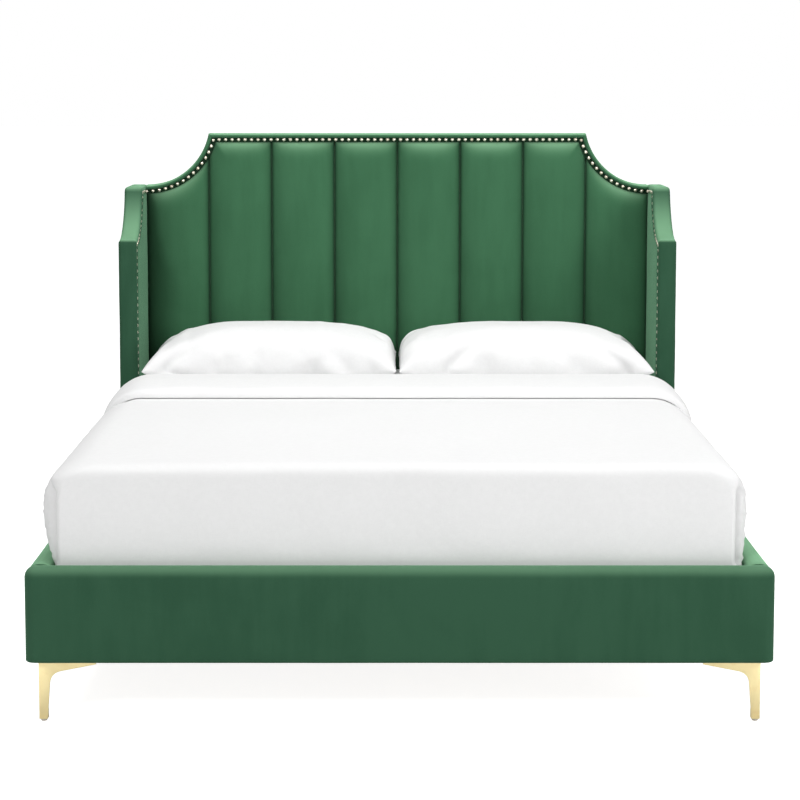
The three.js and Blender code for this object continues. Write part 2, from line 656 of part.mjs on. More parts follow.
// The duvet from the foot: tucked in below, full at the sides, rounded over the mattress
function duvetAcross(grow, bottom) {
  const side = INNER_X - DUVET_PLAY + grow;
  const full = INNER_X + 2 * DUVET_BULGE + grow;
  const top = DUVET_TOP + grow;
  const shoulder = side - DUVET_SHOULDER;
  const middle = (RAIL_TOP + top) / 2;
  const shape = new THREE.Shape();
  shape.moveTo(-side, bottom);
  shape.lineTo(side, bottom);
  shape.lineTo(side, RAIL_TOP);
  shape.bezierCurveTo(full, middle, side + grow, top, shoulder, top);
  shape.lineTo(-shoulder, top);
  shape.bezierCurveTo(-side - grow, top, -full, middle, -side, RAIL_TOP);
  return shape;
}

// The duvet from the side, rounded over the foot of the mattress
function duvetAlong(end) {
  const foot = FOOT_INNER_Y + DUVET_PLAY;
  const bottom = RAIL_TOP - DUVET_TUCK;
  const middle = (RAIL_TOP + DUVET_TOP) / 2;
  const shape = new THREE.Shape();
  shape.moveTo(foot, bottom);
  shape.lineTo(end, bottom);
  shape.lineTo(end, DUVET_TOP + FOLD_LOFT);
  shape.lineTo(foot + DUVET_SHOULDER, DUVET_TOP + FOLD_LOFT);
  shape.lineTo(foot + DUVET_SHOULDER, DUVET_TOP);
  shape.bezierCurveTo(foot, DUVET_TOP, foot - 2 * DUVET_FOOT_BULGE, middle, foot, RAIL_TOP);
  return shape;
}

// Turned-back fold: one more layer over the duvet's top and shoulders
function duvetFold() {
  const bottom = DUVET_TOP - FOLD_DROP;
  const outer = INNER_X + DUVET_BULGE + FOLD_OVERHANG;
  const top = DUVET_TOP + FOLD_LOFT;
  const shape = new THREE.Shape();
  shape.moveTo(-outer, bottom);
  shape.lineTo(outer, bottom);
  shape.bezierCurveTo(outer, top, outer - FOLD_DROP / 2, top, outer - 2 * FOLD_DROP, top);
  shape.lineTo(-outer + 2 * FOLD_DROP, top);
  shape.bezierCurveTo(-outer + FOLD_DROP / 2, top, -outer, top, -outer, bottom);
  return alongY(shape, FOLD_START_Y, FOLD_END_Y, 6);
}

// Section of the room that the mattress takes, with its upper edges taken off
function mattressRoom(from, to, bottom) {
  const top = MATTRESS_TOP + SHEET_ROOM;
  const chamfer = MATTRESS_EDGE / 2;
  const shape = new THREE.Shape();
  shape.moveTo(from, bottom);
  shape.lineTo(to, bottom);
  shape.lineTo(to, top - chamfer);
  shape.lineTo(to - chamfer, top);
  shape.lineTo(from + chamfer, top);
  shape.lineTo(from, top - chamfer);
  return shape;
}

function duvet() {
  const bottom = RAIL_TOP - DUVET_TUCK;
  const layer = overlap(
    alongY(duvetAcross(0, bottom), FOOT_INNER_Y - CUT_MARGIN, FOLD_END_Y, 8),
    alongX(duvetAlong(FOLD_END_Y), -OUTER_X - CUT_MARGIN, OUTER_X + CUT_MARGIN, 8),
  );
  const side = MATTRESS_WIDTH / 2 + DUVET_PLAY;
  const foot = MATTRESS_FRONT_Y - DUVET_PLAY;
  const low = bottom - CUT_MARGIN;
  const room = overlap(
    alongY(mattressRoom(-side, side, low), foot, BACK_Y),
    alongX(mattressRoom(foot, BACK_Y, low), -side, side),
  );
  return cut(join(layer, duvetFold()), room);
}

// A pillow is thin at its seam, full in the middle, and flat where it lies on the mattress
function pillow() {
  const geometry = new THREE.BoxGeometry(2, 2, 2, 16, 12, 1);
  const position = geometry.getAttribute("position");
  const above = PILLOW_HEIGHT - PILLOW_SEAM - PILLOW_RIM / 2;
  const below = PILLOW_SEAM - PILLOW_RIM / 2;
  for (let index = 0; index < position.count; index++) {
    const u = position.getX(index);
    const v = position.getY(index);
    const upper = position.getZ(index) > 0;
    const fullness = Math.sqrt((1 - u ** 4) * (1 - v ** 4));
    const pinch = 1 - 0.035 * (1 - u ** 2 * v ** 2);
    const rise = upper ? above * fullness : -below * Math.min(1, 1.4 * fullness);
    const rim = upper ? PILLOW_RIM / 2 : -PILLOW_RIM / 2;
    const x = (u * pinch * PILLOW_WIDTH) / 2;
    const y = (v * pinch * PILLOW_DEPTH) / 2;
    position.setXYZ(index, x, y, PILLOW_SEAM + rim + rise);
  }
  geometry.computeVertexNormals();
  return geometry;
}

function buildBedding() {
  const group = addGroup("bedding");
  const mattressMiddle = MATTRESS_FRONT_Y + MATTRESS_LENGTH / 2;
  const body = addMesh(group, "mattress", "ticking", mattress());
  body.position.set(0, mattressMiddle - GAP, MATTRESS_BOTTOM);
  addMesh(group, "duvet", "linen", duvet());
  const x = (PILLOW_WIDTH + PILLOW_MIDDLE_GAP) / 2;
  for (const [name, sign] of SIDES) {
    const cushion = addMesh(group, `pillow_${name}`, "linen", pillow());
    cushion.position.set(sign * x, PILLOW_Y, MATTRESS_TOP + SHEET_ROOM);
  }
}

// ---------------------------------------------------------------- the bed
buildHeadboard();
for (const [name, sign] of SIDES) {
  buildWing(name, sign);
  buildRail(name, sign);
}
buildFootboard();
buildBase();
buildBrackets();
buildLegs();
buildBedding();

export default bed;
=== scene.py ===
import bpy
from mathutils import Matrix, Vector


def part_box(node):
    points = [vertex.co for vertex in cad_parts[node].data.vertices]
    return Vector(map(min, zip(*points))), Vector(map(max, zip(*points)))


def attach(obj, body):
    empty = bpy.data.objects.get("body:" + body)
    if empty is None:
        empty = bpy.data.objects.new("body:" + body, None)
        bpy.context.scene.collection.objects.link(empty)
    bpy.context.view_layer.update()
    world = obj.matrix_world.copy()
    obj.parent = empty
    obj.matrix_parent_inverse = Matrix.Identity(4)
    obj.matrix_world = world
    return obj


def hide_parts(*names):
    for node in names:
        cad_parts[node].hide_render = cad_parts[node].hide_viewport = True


bl_info = {
    "name": "Channelled Velvet Bed",
    "version": (1, 0, 0),
    "blender": (4, 5, 0),
    "location": "View3D > Sidebar > Velvet Bed",
    "description": "Upholstery, trim, base and bedding of a winged velvet bed, built round its frame",
    "category": "Object",
}

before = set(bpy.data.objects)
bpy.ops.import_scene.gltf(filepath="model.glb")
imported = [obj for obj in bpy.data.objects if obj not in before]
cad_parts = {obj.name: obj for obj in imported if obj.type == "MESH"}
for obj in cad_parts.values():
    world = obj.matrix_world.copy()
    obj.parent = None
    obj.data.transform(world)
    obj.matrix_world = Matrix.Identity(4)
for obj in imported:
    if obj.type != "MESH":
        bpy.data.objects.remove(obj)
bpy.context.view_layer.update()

import math

import bmesh
import bpy
import numpy as np
from bpy.props import FloatProperty, FloatVectorProperty, IntProperty, PointerProperty
from mathutils import Vector
from mathutils.geometry import delaunay_2d_cdt

# ---------------------------------------------------------------- places taken from the frame
BACK_LOW, BACK_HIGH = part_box("headboard_back_cover")
BORDER_LOW, BORDER_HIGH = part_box("headboard_border")
BOARD_LOW, BOARD_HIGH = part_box("headboard_board")
PAD_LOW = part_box("channel_pad_4")[0]
WING_LOW, WING_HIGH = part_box("wing_cover_right")
RAIL_LOW, RAIL_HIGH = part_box("rail_cover_right")
CORE_LOW, CORE_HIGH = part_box("rail_core_right")
FOOT_LOW, FOOT_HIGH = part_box("footboard_cover")
FOOT_CORE_LOW, FOOT_CORE_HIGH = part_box("footboard_core")
MATTRESS_LOW, MATTRESS_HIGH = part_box("mattress")
DUVET_LOW, DUVET_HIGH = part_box("duvet")
HALF_INSIDE = RAIL_LOW.x
GAP = 0.0003
NAIL_SEAT = BORDER_LOW.y + 0.0095
BORDER_INSIDE = 1.240
WING_NAILS_START = 0.372
BESIDE_RAIL = 0.36
MATTRESS_EDGE = 0.022
PIPING = 0.0032


# ---------------------------------------------------------------- settings
class VelvetBedSizes(bpy.types.PropertyGroup):
    """Sizes of the trim and of the soft pieces"""

    shoulder_drop: FloatProperty(
        name="Shoulder drop", description="Height of the scoop at each headboard shoulder",
        default=0.160, unit="LENGTH")
    shoulder_width: FloatProperty(
        name="Shoulder width", description="Width of the scoop at each headboard shoulder",
        default=0.195, unit="LENGTH")
    wing_scoop_height: FloatProperty(
        name="Wing scoop height", description="Height of the scoop at the top of each wing",
        default=0.150, unit="LENGTH")
    wing_scoop_depth: FloatProperty(
        name="Wing scoop depth", description="Depth of the scoop at the top of each wing",
        default=0.177, unit="LENGTH")
    roll_width: FloatProperty(
        name="Roll width", description="Width of the padded roll outside the nailheads",
        default=0.0135, unit="LENGTH")
    nail_inset: FloatProperty(
        name="Nail inset", description="Distance of the nailheads from the upholstered edge",
        default=0.0185, unit="LENGTH")
    nail_spacing: FloatProperty(
        name="Nail spacing", description="Distance from one nailhead to the next",
        default=0.0200, unit="LENGTH")
    nail_width: FloatProperty(
        name="Nail width", description="Width of one nailhead", default=0.0122, unit="LENGTH")
    nail_height: FloatProperty(
        name="Nail height", description="Height of one nailhead's dome", default=0.0052, unit="LENGTH")
    channel_fall: FloatProperty(
        name="Channel fall", description="How far from its edge a channel reaches full depth",
        default=0.085, unit="LENGTH")
    cover_softness: FloatProperty(
        name="Cover softness", description="How far the padded covers swell between their edges",
        default=0.0018, unit="LENGTH")
    stitch_length: FloatProperty(
        name="Stitch length", description="Length of one stitch", default=0.0042, unit="LENGTH")
    thread_width: FloatProperty(
        name="Thread width", description="Width of the sewing thread", default=0.0009, unit="LENGTH")
    screw_width: FloatProperty(
        name="Bolt width", description="Width of a bolt head", default=0.0130, unit="LENGTH")
    pillow_rows: IntProperty(
        name="Pillow rows", description="Cloth cells across a pillow's depth", default=46, min=8, max=90)


class VelvetBedColours(bpy.types.PropertyGroup):
    """Colours of the fabrics, the woods and the metals"""

    velvet: FloatVectorProperty(
        name="Velvet", description="Pile lying towards the light", subtype="COLOR",
        default=(0.030, 0.092, 0.050))
    velvet_deep: FloatVectorProperty(
        name="Velvet, deep", description="Pile lying away from the light", subtype="COLOR",
        default=(0.026, 0.081, 0.044))
    # Painted light: the channels' velvet is a lighter copy of the cover velvet, standing in for the headboard
    # catching more light.
    painted_lit_channel_velvet: FloatVectorProperty(
        name="Channel velvet", description="Pile of the channels, brushed upwards", subtype="COLOR",
        default=(0.046, 0.146, 0.071))
    painted_lit_channel_velvet_deep: FloatVectorProperty(
        name="Channel velvet, deep", description="Pile of the channels where it was brushed down",
        subtype="COLOR", default=(0.040, 0.128, 0.062))
    # Painted highlight: this lighter colour is mixed into the velvet on upward faces to stand in for light
    # from above.
    velvet_painted_top_light: FloatVectorProperty(
        name="Velvet, open", description="Pile that stands open on upward faces", subtype="COLOR",
        default=(0.215, 0.430, 0.252))
    cotton: FloatVectorProperty(
        name="Cotton", description="Duvet and pillows", subtype="COLOR", default=(0.80, 0.80, 0.80))
    ticking: FloatVectorProperty(
        name="Ticking", description="Mattress cover", subtype="COLOR", default=(0.80, 0.78, 0.74))
    gold: FloatVectorProperty(
        name="Gold", description="Legs", subtype="COLOR", default=(1.0, 0.85, 0.47))
    brass: FloatVectorProperty(
        name="Brass", description="Nailheads", subtype="COLOR", default=(0.76, 0.71, 0.59))
    pine: FloatVectorProperty(
        name="Pine", description="Rails and ledges", subtype="COLOR", default=(0.62, 0.44, 0.25))
    slat_wood: FloatVectorProperty(
        name="Slat wood", description="Slats", subtype="COLOR", default=(0.72, 0.56, 0.36))


# ---------------------------------------------------------------- node helpers
def put(tree, kind, inputs=None, **settings):
    """Adds a node with its settings, and its inputs as values or as links from other sockets."""
    node = tree.nodes.new(kind)
    for name, value in settings.items():
        setattr(node, name, value)
    for name, value in (inputs or {}).items():
        socket = node.inputs[name]
        if isinstance(value, bpy.types.NodeSocket):
            tree.links.new(value, socket)
        else:
            socket.default_value = value
    return node


def maths(tree, operation, a, b=0.0, c=None):
    """One maths node on values or sockets, and its result."""
    values = {0: a, 1: b}
    if c is not None:
        values[2] = c
    return put(tree, "ShaderNodeMath", values, operation=operation).outputs[0]


def new_group(name, kind, inputs, outputs):
    """A node group with named inputs and outputs, and its two end nodes."""
    tree = bpy.data.node_groups.new(name, kind)
    for in_out, sockets in (("INPUT", inputs), ("OUTPUT", outputs)):
        for socket_name, socket_type, *default in sockets:
            socket = tree.interface.new_socket(socket_name, in_out=in_out, socket_type=socket_type)
            if default:
                socket.default_value = default[0]
    return tree, tree.nodes.new("NodeGroupInput"), tree.nodes.new("NodeGroupOutput")


def colour(rgb, alpha=1.0):
    """A colour with its alpha, as a shader socket takes it."""
    return (rgb[0], rgb[1], rgb[2], alpha)


def ramp(tree, factor, low, high, to_low=0.0, to_high=1.0):
    """Maps low..high of a value to to_low..to_high, smoothly."""
    return put(tree, "ShaderNodeMapRange", {
        "Value": factor, "From Min": low, "From Max": high, "To Min": to_low, "To Max": to_high,
    }, interpolation_type="SMOOTHSTEP").outputs["Result"]


def blend_colours(tree, factor, a, b, how="MIX"):
    """One colour mix of two colours or sockets, and its result."""
    node = put(tree, "ShaderNodeMix", data_type="RGBA", blend_type=how)
    for socket, value in ((node.inputs[0], factor), (node.inputs[6], a), (node.inputs[7], b)):
        if isinstance(value, bpy.types.NodeSocket):
            tree.links.new(value, socket)
        else:
            socket.default_value = value
    return node.outputs[2]


# ---------------------------------------------------------------- shared shader groups
def velvet_pile_group():
    """Colour, roughness and height of a short brushed pile."""
    tree, given, out = new_group("Velvet pile", "ShaderNodeTree", [
        ("Pile", "NodeSocketColor"), ("Deep", "NodeSocketColor"),
        ("Nap Scale", "NodeSocketFloat", 3.0), ("Fibre Scale", "NodeSocketFloat", 1500.0),
    ], [("Color", "NodeSocketColor"), ("Roughness", "NodeSocketFloat"), ("Height", "NodeSocketFloat")])
    place = tree.nodes.new("ShaderNodeTexCoord").outputs["Object"]
    nap_and_painted_light = put(tree, "ShaderNodeTexNoise", {
        "Vector": place, "Scale": given.outputs["Nap Scale"], "Detail": 4.0, "Roughness": 0.55,
        "Distortion": 0.6}).outputs["Fac"]
    stroked = put(tree, "ShaderNodeMapping", {"Vector": place, "Scale": (1.0, 1.0, 0.16)})
    strokes = put(tree, "ShaderNodeTexNoise", {
        "Vector": stroked.outputs[0], "Scale": 38.0, "Detail": 3.0, "Roughness": 0.5}).outputs["Fac"]
    fibres = put(tree, "ShaderNodeTexNoise", {
        "Vector": place, "Scale": given.outputs["Fibre Scale"], "Detail": 2.0}).outputs["Fac"]
    lean = maths(tree, "ADD", maths(tree, "MULTIPLY", nap_and_painted_light, 0.72), maths(tree, "MULTIPLY", strokes, 0.28))
    lean = ramp(tree, lean, 0.36, 0.64)
    shade = blend_colours(tree, lean, given.outputs["Deep"], given.outputs["Pile"])
    speck = ramp(tree, fibres, 0.3, 0.7, 0.90, 1.08)
    shade = blend_colours(tree, 1.0, shade, speck, "MULTIPLY")
    tree.links.new(shade, out.inputs["Color"])
    tree.links.new(ramp(tree, lean, 0.0, 1.0, 0.92, 0.78), out.inputs["Roughness"])
    height = maths(tree, "ADD", maths(tree, "MULTIPLY", fibres, 0.8), maths(tree, "MULTIPLY", strokes, 0.2))
    tree.links.new(height, out.inputs["Height"])
    return tree


def woven_cloth_group():
    """Colour, roughness and height of a plain weave, the same whichever way the cloth faces."""
    tree, given, out = new_group("Woven cloth", "ShaderNodeTree", [
        ("Cloth", "NodeSocketColor"), ("Shadow", "NodeSocketColor"),
        ("Threads", "NodeSocketFloat", 900.0), ("Crease Scale", "NodeSocketFloat", 9.0),
    ], [("Color", "NodeSocketColor"), ("Roughness", "NodeSocketFloat"), ("Height", "NodeSocketFloat"),
        ("Creases", "NodeSocketFloat")])
    place = tree.nodes.new("ShaderNodeTexCoord").outputs["Object"]
    threads = []
    for way in ((1.0, 0.06, 0.06), (0.06, 1.0, 0.06), (0.06, 0.06, 1.0)):
        drawn = put(tree, "ShaderNodeVectorMath", {0: place, 1: way}, operation="MULTIPLY").outputs[0]
        threads.append(put(tree, "ShaderNodeTexNoise", {
            "Vector": drawn, "Scale": given.outputs["Threads"], "Detail": 1.0}).outputs["Fac"])
    weave = maths(tree, "MAXIMUM", maths(tree, "MAXIMUM", threads[0], threads[1]), threads[2])
    slub = put(tree, "ShaderNodeTexNoise", {"Vector": place, "Scale": 60.0, "Detail": 3.0}).outputs["Fac"]
    creases = put(tree, "ShaderNodeTexNoise", {
        "Vector": place, "Scale": given.outputs["Crease Scale"], "Detail": 5.0, "Roughness": 0.5,
        "Distortion": 1.2}).outputs["Fac"]
    shade = blend_colours(tree, ramp(tree, weave, 0.35, 0.65), given.outputs["Shadow"],
                          given.outputs["Cloth"])
    shade = blend_colours(tree, ramp(tree, slub, 0.35, 0.65, 0.0, 0.25), shade, given.outputs["Shadow"])
    tree.links.new(shade, out.inputs["Color"])
    tree.links.new(ramp(tree, slub, 0.3, 0.7, 0.86, 0.96), out.inputs["Roughness"])
    tree.links.new(weave, out.inputs["Height"])
    tree.links.new(creases, out.inputs["Creases"])
    return tree


def wood_grain_group():
    """Colour, roughness and height of sawn wood, with its grain along one axis."""
    tree, given, out = new_group("Wood grain", "ShaderNodeTree", [
        ("Light", "NodeSocketColor"), ("Dark", "NodeSocketColor"),
        ("Stretch", "NodeSocketVector", (14.0, 0.9, 14.0)), ("Rings", "NodeSocketFloat", 2.6),
    ], [("Color", "NodeSocketColor"), ("Roughness", "NodeSocketFloat"), ("Height", "NodeSocketFloat")])
    place = tree.nodes.new("ShaderNodeTexCoord").outputs["Object"]
    along = put(tree, "ShaderNodeVectorMath", {0: place, 1: given.outputs["Stretch"]},
                operation="MULTIPLY").outputs[0]
    drift = put(tree, "ShaderNodeTexNoise", {
        "Vector": along, "Scale": 0.8, "Detail": 3.0, "Distortion": 0.8}).outputs["Fac"]
    rings = maths(tree, "FRACT", maths(tree, "MULTIPLY", maths(tree, "MULTIPLY", drift, 6.0),
                                      given.outputs["Rings"]))
    pores = put(tree, "ShaderNodeTexNoise", {"Vector": along, "Scale": 26.0, "Detail": 3.0}).outputs["Fac"]
    late = ramp(tree, rings, 0.1, 0.95)
    tone = maths(tree, "ADD", maths(tree, "MULTIPLY", late, 0.6),
                 maths(tree, "MULTIPLY", ramp(tree, pores, 0.4, 0.7), 0.4))
    shade = blend_colours(tree, tone, given.outputs["Light"], given.outputs["Dark"])
    tree.links.new(shade, out.inputs["Color"])
    tree.links.new(ramp(tree, tone, 0.0, 1.0, 0.52, 0.72), out.inputs["Roughness"])
    tree.links.new(maths(tree, "MULTIPLY", tone, -1.0), out.inputs["Height"])
    return tree


def worked_metal_group():
    """Colour, roughness and height of brushed metal with light handling marks."""
    tree, given, out = new_group("Worked metal", "ShaderNodeTree", [
        ("Metal", "NodeSocketColor"), ("Tarnish", "NodeSocketColor"),
        ("Stretch", "NodeSocketVector", (1.0, 1.0, 30.0)), ("Rough", "NodeSocketFloat", 0.3),
    ], [("Color", "NodeSocketColor"), ("Roughness", "NodeSocketFloat"), ("Height", "NodeSocketFloat")])
    place = tree.nodes.new("ShaderNodeTexCoord").outputs["Object"]
    drawn = put(tree, "ShaderNodeVectorMath", {0: place, 1: given.outputs["Stretch"]},
                operation="MULTIPLY").outputs[0]
    lines = put(tree, "ShaderNodeTexNoise", {"Vector": drawn, "Scale": 60.0, "Detail": 4.0}).outputs["Fac"]
    marks = put(tree, "ShaderNodeTexNoise", {"Vector": place, "Scale": 34.0, "Detail": 5.0}).outputs["Fac"]
    worn = ramp(tree, marks, 0.5, 0.75)
    shade = blend_colours(tree, maths(tree, "MULTIPLY", worn, 0.5), given.outputs["Metal"],
                          given.outputs["Tarnish"])
    tree.links.new(shade, out.inputs["Color"])
    rough = maths(tree, "ADD", given.outputs["Rough"], ramp(tree, lines, 0.3, 0.7, -0.05, 0.07))
    rough = maths(tree, "ADD", rough, maths(tree, "MULTIPLY", worn, 0.10))
    tree.links.new(rough, out.inputs["Roughness"])
    tree.links.new(lines, out.inputs["Height"])
    return tree


# ---------------------------------------------------------------- materials
def surface(name, group, values, bump=(0.3, 0.001), crushed=0.0, open_nap=None, **shader):
    """A material whose shared group feeds colour, roughness and bump, with the rest set on the shader."""
    material = bpy.data.materials.new(name)
    material.use_nodes = True
    tree = material.node_tree
    principled = tree.nodes["Principled BSDF"]
    effect = tree.nodes.new("ShaderNodeGroup")
    effect.node_tree = bpy.data.node_groups[group]
    for socket, value in values.items():
        effect.inputs[socket].default_value = value
    tree.links.new(effect.outputs["Color"], principled.inputs["Base Color"])
    tree.links.new(effect.outputs["Roughness"], principled.inputs["Roughness"])
    raised = put(tree, "ShaderNodeBump", {
        "Strength": bump[0], "Distance": bump[1], "Height": effect.outputs["Height"]})
    tree.links.new(raised.outputs["Normal"], principled.inputs["Normal"])
    if "Creases" in effect.outputs:
        first = put(tree, "ShaderNodeBump", {
            "Strength": 0.25, "Distance": 0.012, "Height": effect.outputs["Creases"]})
        tree.links.new(first.outputs["Normal"], raised.inputs["Normal"])
    # Painted light on the velvet: a lighter colour on upward faces is a painted highlight, and a dark colour
    # in seams and grooves is painted shade.
    if open_nap:
        painted_top_light_mask = put(tree, "ShaderNodeAttribute", attribute_name="open_nap").outputs["Fac"]
        lighter = blend_colours(tree, painted_top_light_mask, effect.outputs["Color"], colour(open_nap))
        # Painted shade: mixes the colour towards a near-black green where seams, grooves and cast shadow are
        # marked.
        painted_shade_mask = put(tree, "ShaderNodeAttribute", attribute_name="crushed").outputs["Fac"]
        with_painted_shade = blend_colours(tree, maths(tree, "MULTIPLY", painted_shade_mask, crushed), lighter,
                               (0.0, 0.004, 0.001, 1.0))
        tree.links.new(with_painted_shade, principled.inputs["Base Color"])
    for socket, value in shader.items():
        principled.inputs[socket.replace("_", " ")].default_value = value
    material.diffuse_color = colour(values.get(next(iter(values)))[:3])
    return material


def make_materials(colours):
    """Every finish of the bed, kept by name in bpy.data.materials."""
    velvet_pile_group()
    woven_cloth_group()
    wood_grain_group()
    worked_metal_group()
    pile = {"Pile": colour(colours.velvet), "Deep": colour(colours.velvet_deep)}
    # The channels and the roll take the lighter copy of the velvet, which is painted light.
    brushed = {"Pile": colour(colours.painted_lit_channel_velvet), "Deep": colour(colours.painted_lit_channel_velvet_deep)}
    sheen = {"Sheen_Weight": 0.50, "Sheen_Roughness": 0.32, "Sheen_Tint": (0.42, 0.84, 0.52, 1.0),
             "Specular_IOR_Level": 0.12}
    # The last column is how strong each velvet's painted shade in seams and grooves is.
    for name, laid, scale, crushed in (
        ("channel velvet", brushed, 2.4, 0.9), ("cover velvet", pile, 3.4, 0.8),
        ("roll velvet", brushed, 6.0, 0.85),
    ):
        surface(name, "Velvet pile", {**laid, "Nap Scale": scale}, (0.35, 0.0006), crushed,
                colours.velvet_painted_top_light, **sheen)
    surface("pine", "Wood grain", {
        "Light": colour(colours.pine), "Dark": (0.36, 0.21, 0.10, 1.0)}, (0.35, 0.0006))
    surface("slat wood", "Wood grain", {
        "Light": colour(colours.slat_wood), "Dark": (0.50, 0.33, 0.17, 1.0),
        "Stretch": (0.9, 14.0, 14.0)}, (0.35, 0.0005))
    surface("birch plywood", "Wood grain", {
        "Light": (0.62, 0.47, 0.30, 1.0), "Dark": (0.44, 0.30, 0.17, 1.0),
        "Stretch": (8.0, 40.0, 1.0)}, (0.3, 0.0005))
    surface("black steel", "Worked metal", {
        "Metal": (0.035, 0.035, 0.038, 1.0), "Tarnish": (0.10, 0.10, 0.10, 1.0), "Rough": 0.46,
        "Stretch": (1.0, 1.0, 1.0)}, (0.25, 0.0003), Metallic=0.0, Coat_Weight=0.15)
    surface("bolt steel", "Worked metal", {
        "Metal": (0.60, 0.60, 0.60, 1.0), "Tarnish": (0.40, 0.39, 0.37, 1.0), "Rough": 0.34,
        "Stretch": (1.0, 1.0, 1.0)}, (0.2, 0.0002), Metallic=1.0)
    surface("brushed gold", "Worked metal", {
        "Metal": colour(colours.gold), "Tarnish": (0.86, 0.67, 0.34, 1.0), "Rough": 0.38,
        "Stretch": (12.0, 12.0, 0.7)}, (0.15, 0.0002), Metallic=1.0)
    surface("nail brass", "Worked metal", {
        "Metal": colour(colours.brass), "Tarnish": (0.36, 0.26, 0.14, 1.0), "Rough": 0.26,
        "Stretch": (1.0, 1.0, 1.0)}, (0.1, 0.0002), Metallic=1.0)
    surface("nylon", "Worked metal", {
        "Metal": (0.10, 0.10, 0.10, 1.0), "Tarnish": (0.16, 0.155, 0.15, 1.0), "Rough": 0.52,
        "Stretch": (1.0, 1.0, 1.0)}, (0.2, 0.0003))
    fabric = {"Sheen_Weight": 0.10, "Sheen_Roughness": 0.6, "Specular_IOR_Level": 0.2}
    surface("duvet cotton", "Woven cloth", {
        "Cloth": colour(colours.cotton), "Shadow": (0.765, 0.765, 0.765, 1.0), "Threads": 1300.0,
        "Crease Scale": 4.0}, (0.12, 0.0004), **fabric)
    surface("pillow cotton", "Woven cloth", {
        "Cloth": colour(colours.cotton), "Shadow": (0.755, 0.755, 0.755, 1.0), "Threads": 1300.0,
        "Crease Scale": 7.0}, (0.12, 0.0004), **fabric)
    surface("sheet cotton", "Woven cloth", {
        "Cloth": colour(colours.cotton), "Shadow": (0.75, 0.75, 0.755, 1.0), "Threads": 1100.0,
        "Crease Scale": 10.0}, (0.12, 0.0004), **fabric)
    surface("ticking", "Woven cloth", {
        "Cloth": colour(colours.ticking), "Shadow": (0.62, 0.60, 0.56, 1.0), "Threads": 700.0,
        "Crease Scale": 12.0}, (0.3, 0.0006), **fabric)
    surface("thread", "Woven cloth", {
        "Cloth": (0.03, 0.12, 0.055, 1.0), "Shadow": (0.02, 0.08, 0.035, 1.0), "Threads": 2600.0,
        "Crease Scale": 12.0}, (0.2, 0.0002), **fabric)


def material(name):
    """A finish by its name."""
    return bpy.data.materials[name]


# ---------------------------------------------------------------- mesh helpers
def piece_from(name, points, faces, finish, sharp=40.0):
    """A new mesh object from points in metres, closed and facing outwards, with smooth shading."""
    mesh = bpy.data.meshes.new(name)
    mesh.from_pydata([tuple(p) for p in np.asarray(points, float)], [], faces)
    mesh.validate()
    form = bmesh.new()
    form.from_mesh(mesh)
    bmesh.ops.remove_doubles(form, verts=form.verts, dist=1e-6)
    bmesh.ops.recalc_face_normals(form, faces=form.faces)
    form.to_mesh(mesh)
    form.free()
    mesh.materials.append(material(finish))
    mesh.shade_smooth()
    mesh.set_sharp_from_angle(angle=math.radians(sharp))
    piece = bpy.data.objects.new(name, mesh)
    bpy.context.scene.collection.objects.link(piece)
    return piece


def mark_painted_top_light(piece, nap_and_painted_light):
    """Records how far each point faces upwards, for a painted highlight that lightens the velvet's upward
    faces.
    """
    mesh = piece.data
    normals = np.zeros(len(mesh.vertices) * 3)
    mesh.vertices.foreach_get("normal", normals)
    value = (nap_and_painted_light * smooth(normals.reshape(-1, 3)[:, 2], 0.02, 0.98)).astype(np.float32)
    mesh.attributes.new("open_nap", "FLOAT", "POINT").data.foreach_set("value", value)


def settle(piece, body, slot, *nodes, fill=None, nap_and_painted_light=1.0):
    """Lets a finished piece ride on its body and hides the frame nodes that it stands for."""
    # Velvet pieces get a painted highlight on their upward faces, scaled by the last argument.
    if slot == "velvet":
        mark_painted_top_light(piece, nap_and_painted_light)
    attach(piece, body)
    if nodes:
        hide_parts(*nodes)
    return piece


def baked(piece):
    """The piece with its modifiers applied, as a plain mesh."""
    graph = bpy.context.evaluated_depsgraph_get()
    mesh = bpy.data.meshes.new_from_object(piece.evaluated_get(graph))
    old = piece.data
    piece.modifiers.clear()
    piece.data = mesh
    mesh.name = piece.name
    if old.users == 0:
        bpy.data.meshes.remove(old)
    return piece


def grid_faces(rows, columns, wrap=False, start=0):
    """Quads between the points of a grid kept row by row."""
    last = columns if wrap else columns - 1
    return [
        (start + r * columns + c, start + r * columns + (c + 1) % columns,
         start + (r + 1) * columns + (c + 1) % columns, start + (r + 1) * columns + c)
        for r in range(rows - 1) for c in range(last)
    ]


def loft(name, sections, finish, sharp=40.0):
    """A tube through closed sections of equal length, with flat ends."""
    sections = np.asarray(sections, float)
    count, around = sections.shape[:2]
    faces = grid_faces(count, around, wrap=True)
    faces.append(tuple(range(around)))
    faces.append(tuple(range((count - 1) * around, count * around)))
    return piece_from(name, sections.reshape(-1, 3), faces, finish, sharp)


def wander(points, wavelength, seed):
    """A smooth random value from about -1 to 1 at each point, the same each time."""
    points = np.atleast_2d(np.asarray(points, float))
    draw = np.random.default_rng(seed)
    terms = 9
    total = np.zeros(len(points))
    for _ in range(terms):
        way = draw.normal(size=points.shape[1])
        way *= 2 * math.pi / wavelength * draw.uniform(0.55, 1.5) / np.linalg.norm(way)
        total += np.sin(points @ way + draw.uniform(0, 2 * math.pi))
    return total / terms * 1.8


def smooth(value, low, high):
    """0 below low, 1 above high, and a smooth rise between them."""
    t = np.clip((np.asarray(value, float) - low) / (high - low), 0.0, 1.0)
    return t * t * (3 - 2 * t)


def dense(points, step, closed=True):
    """The same outline with no stretch longer than step."""
    points = [np.asarray(p, float) for p in points]
    ends = points[1:] + (points[:1] if closed else [])
    made = []
    for a, b in zip(points, ends):
        count = max(1, math.ceil(np.linalg.norm(b - a) / step))
        made += [a + (b - a) * i / count for i in range(count)]
    if not closed:
        made.append(points[-1])
    return np.array(made)


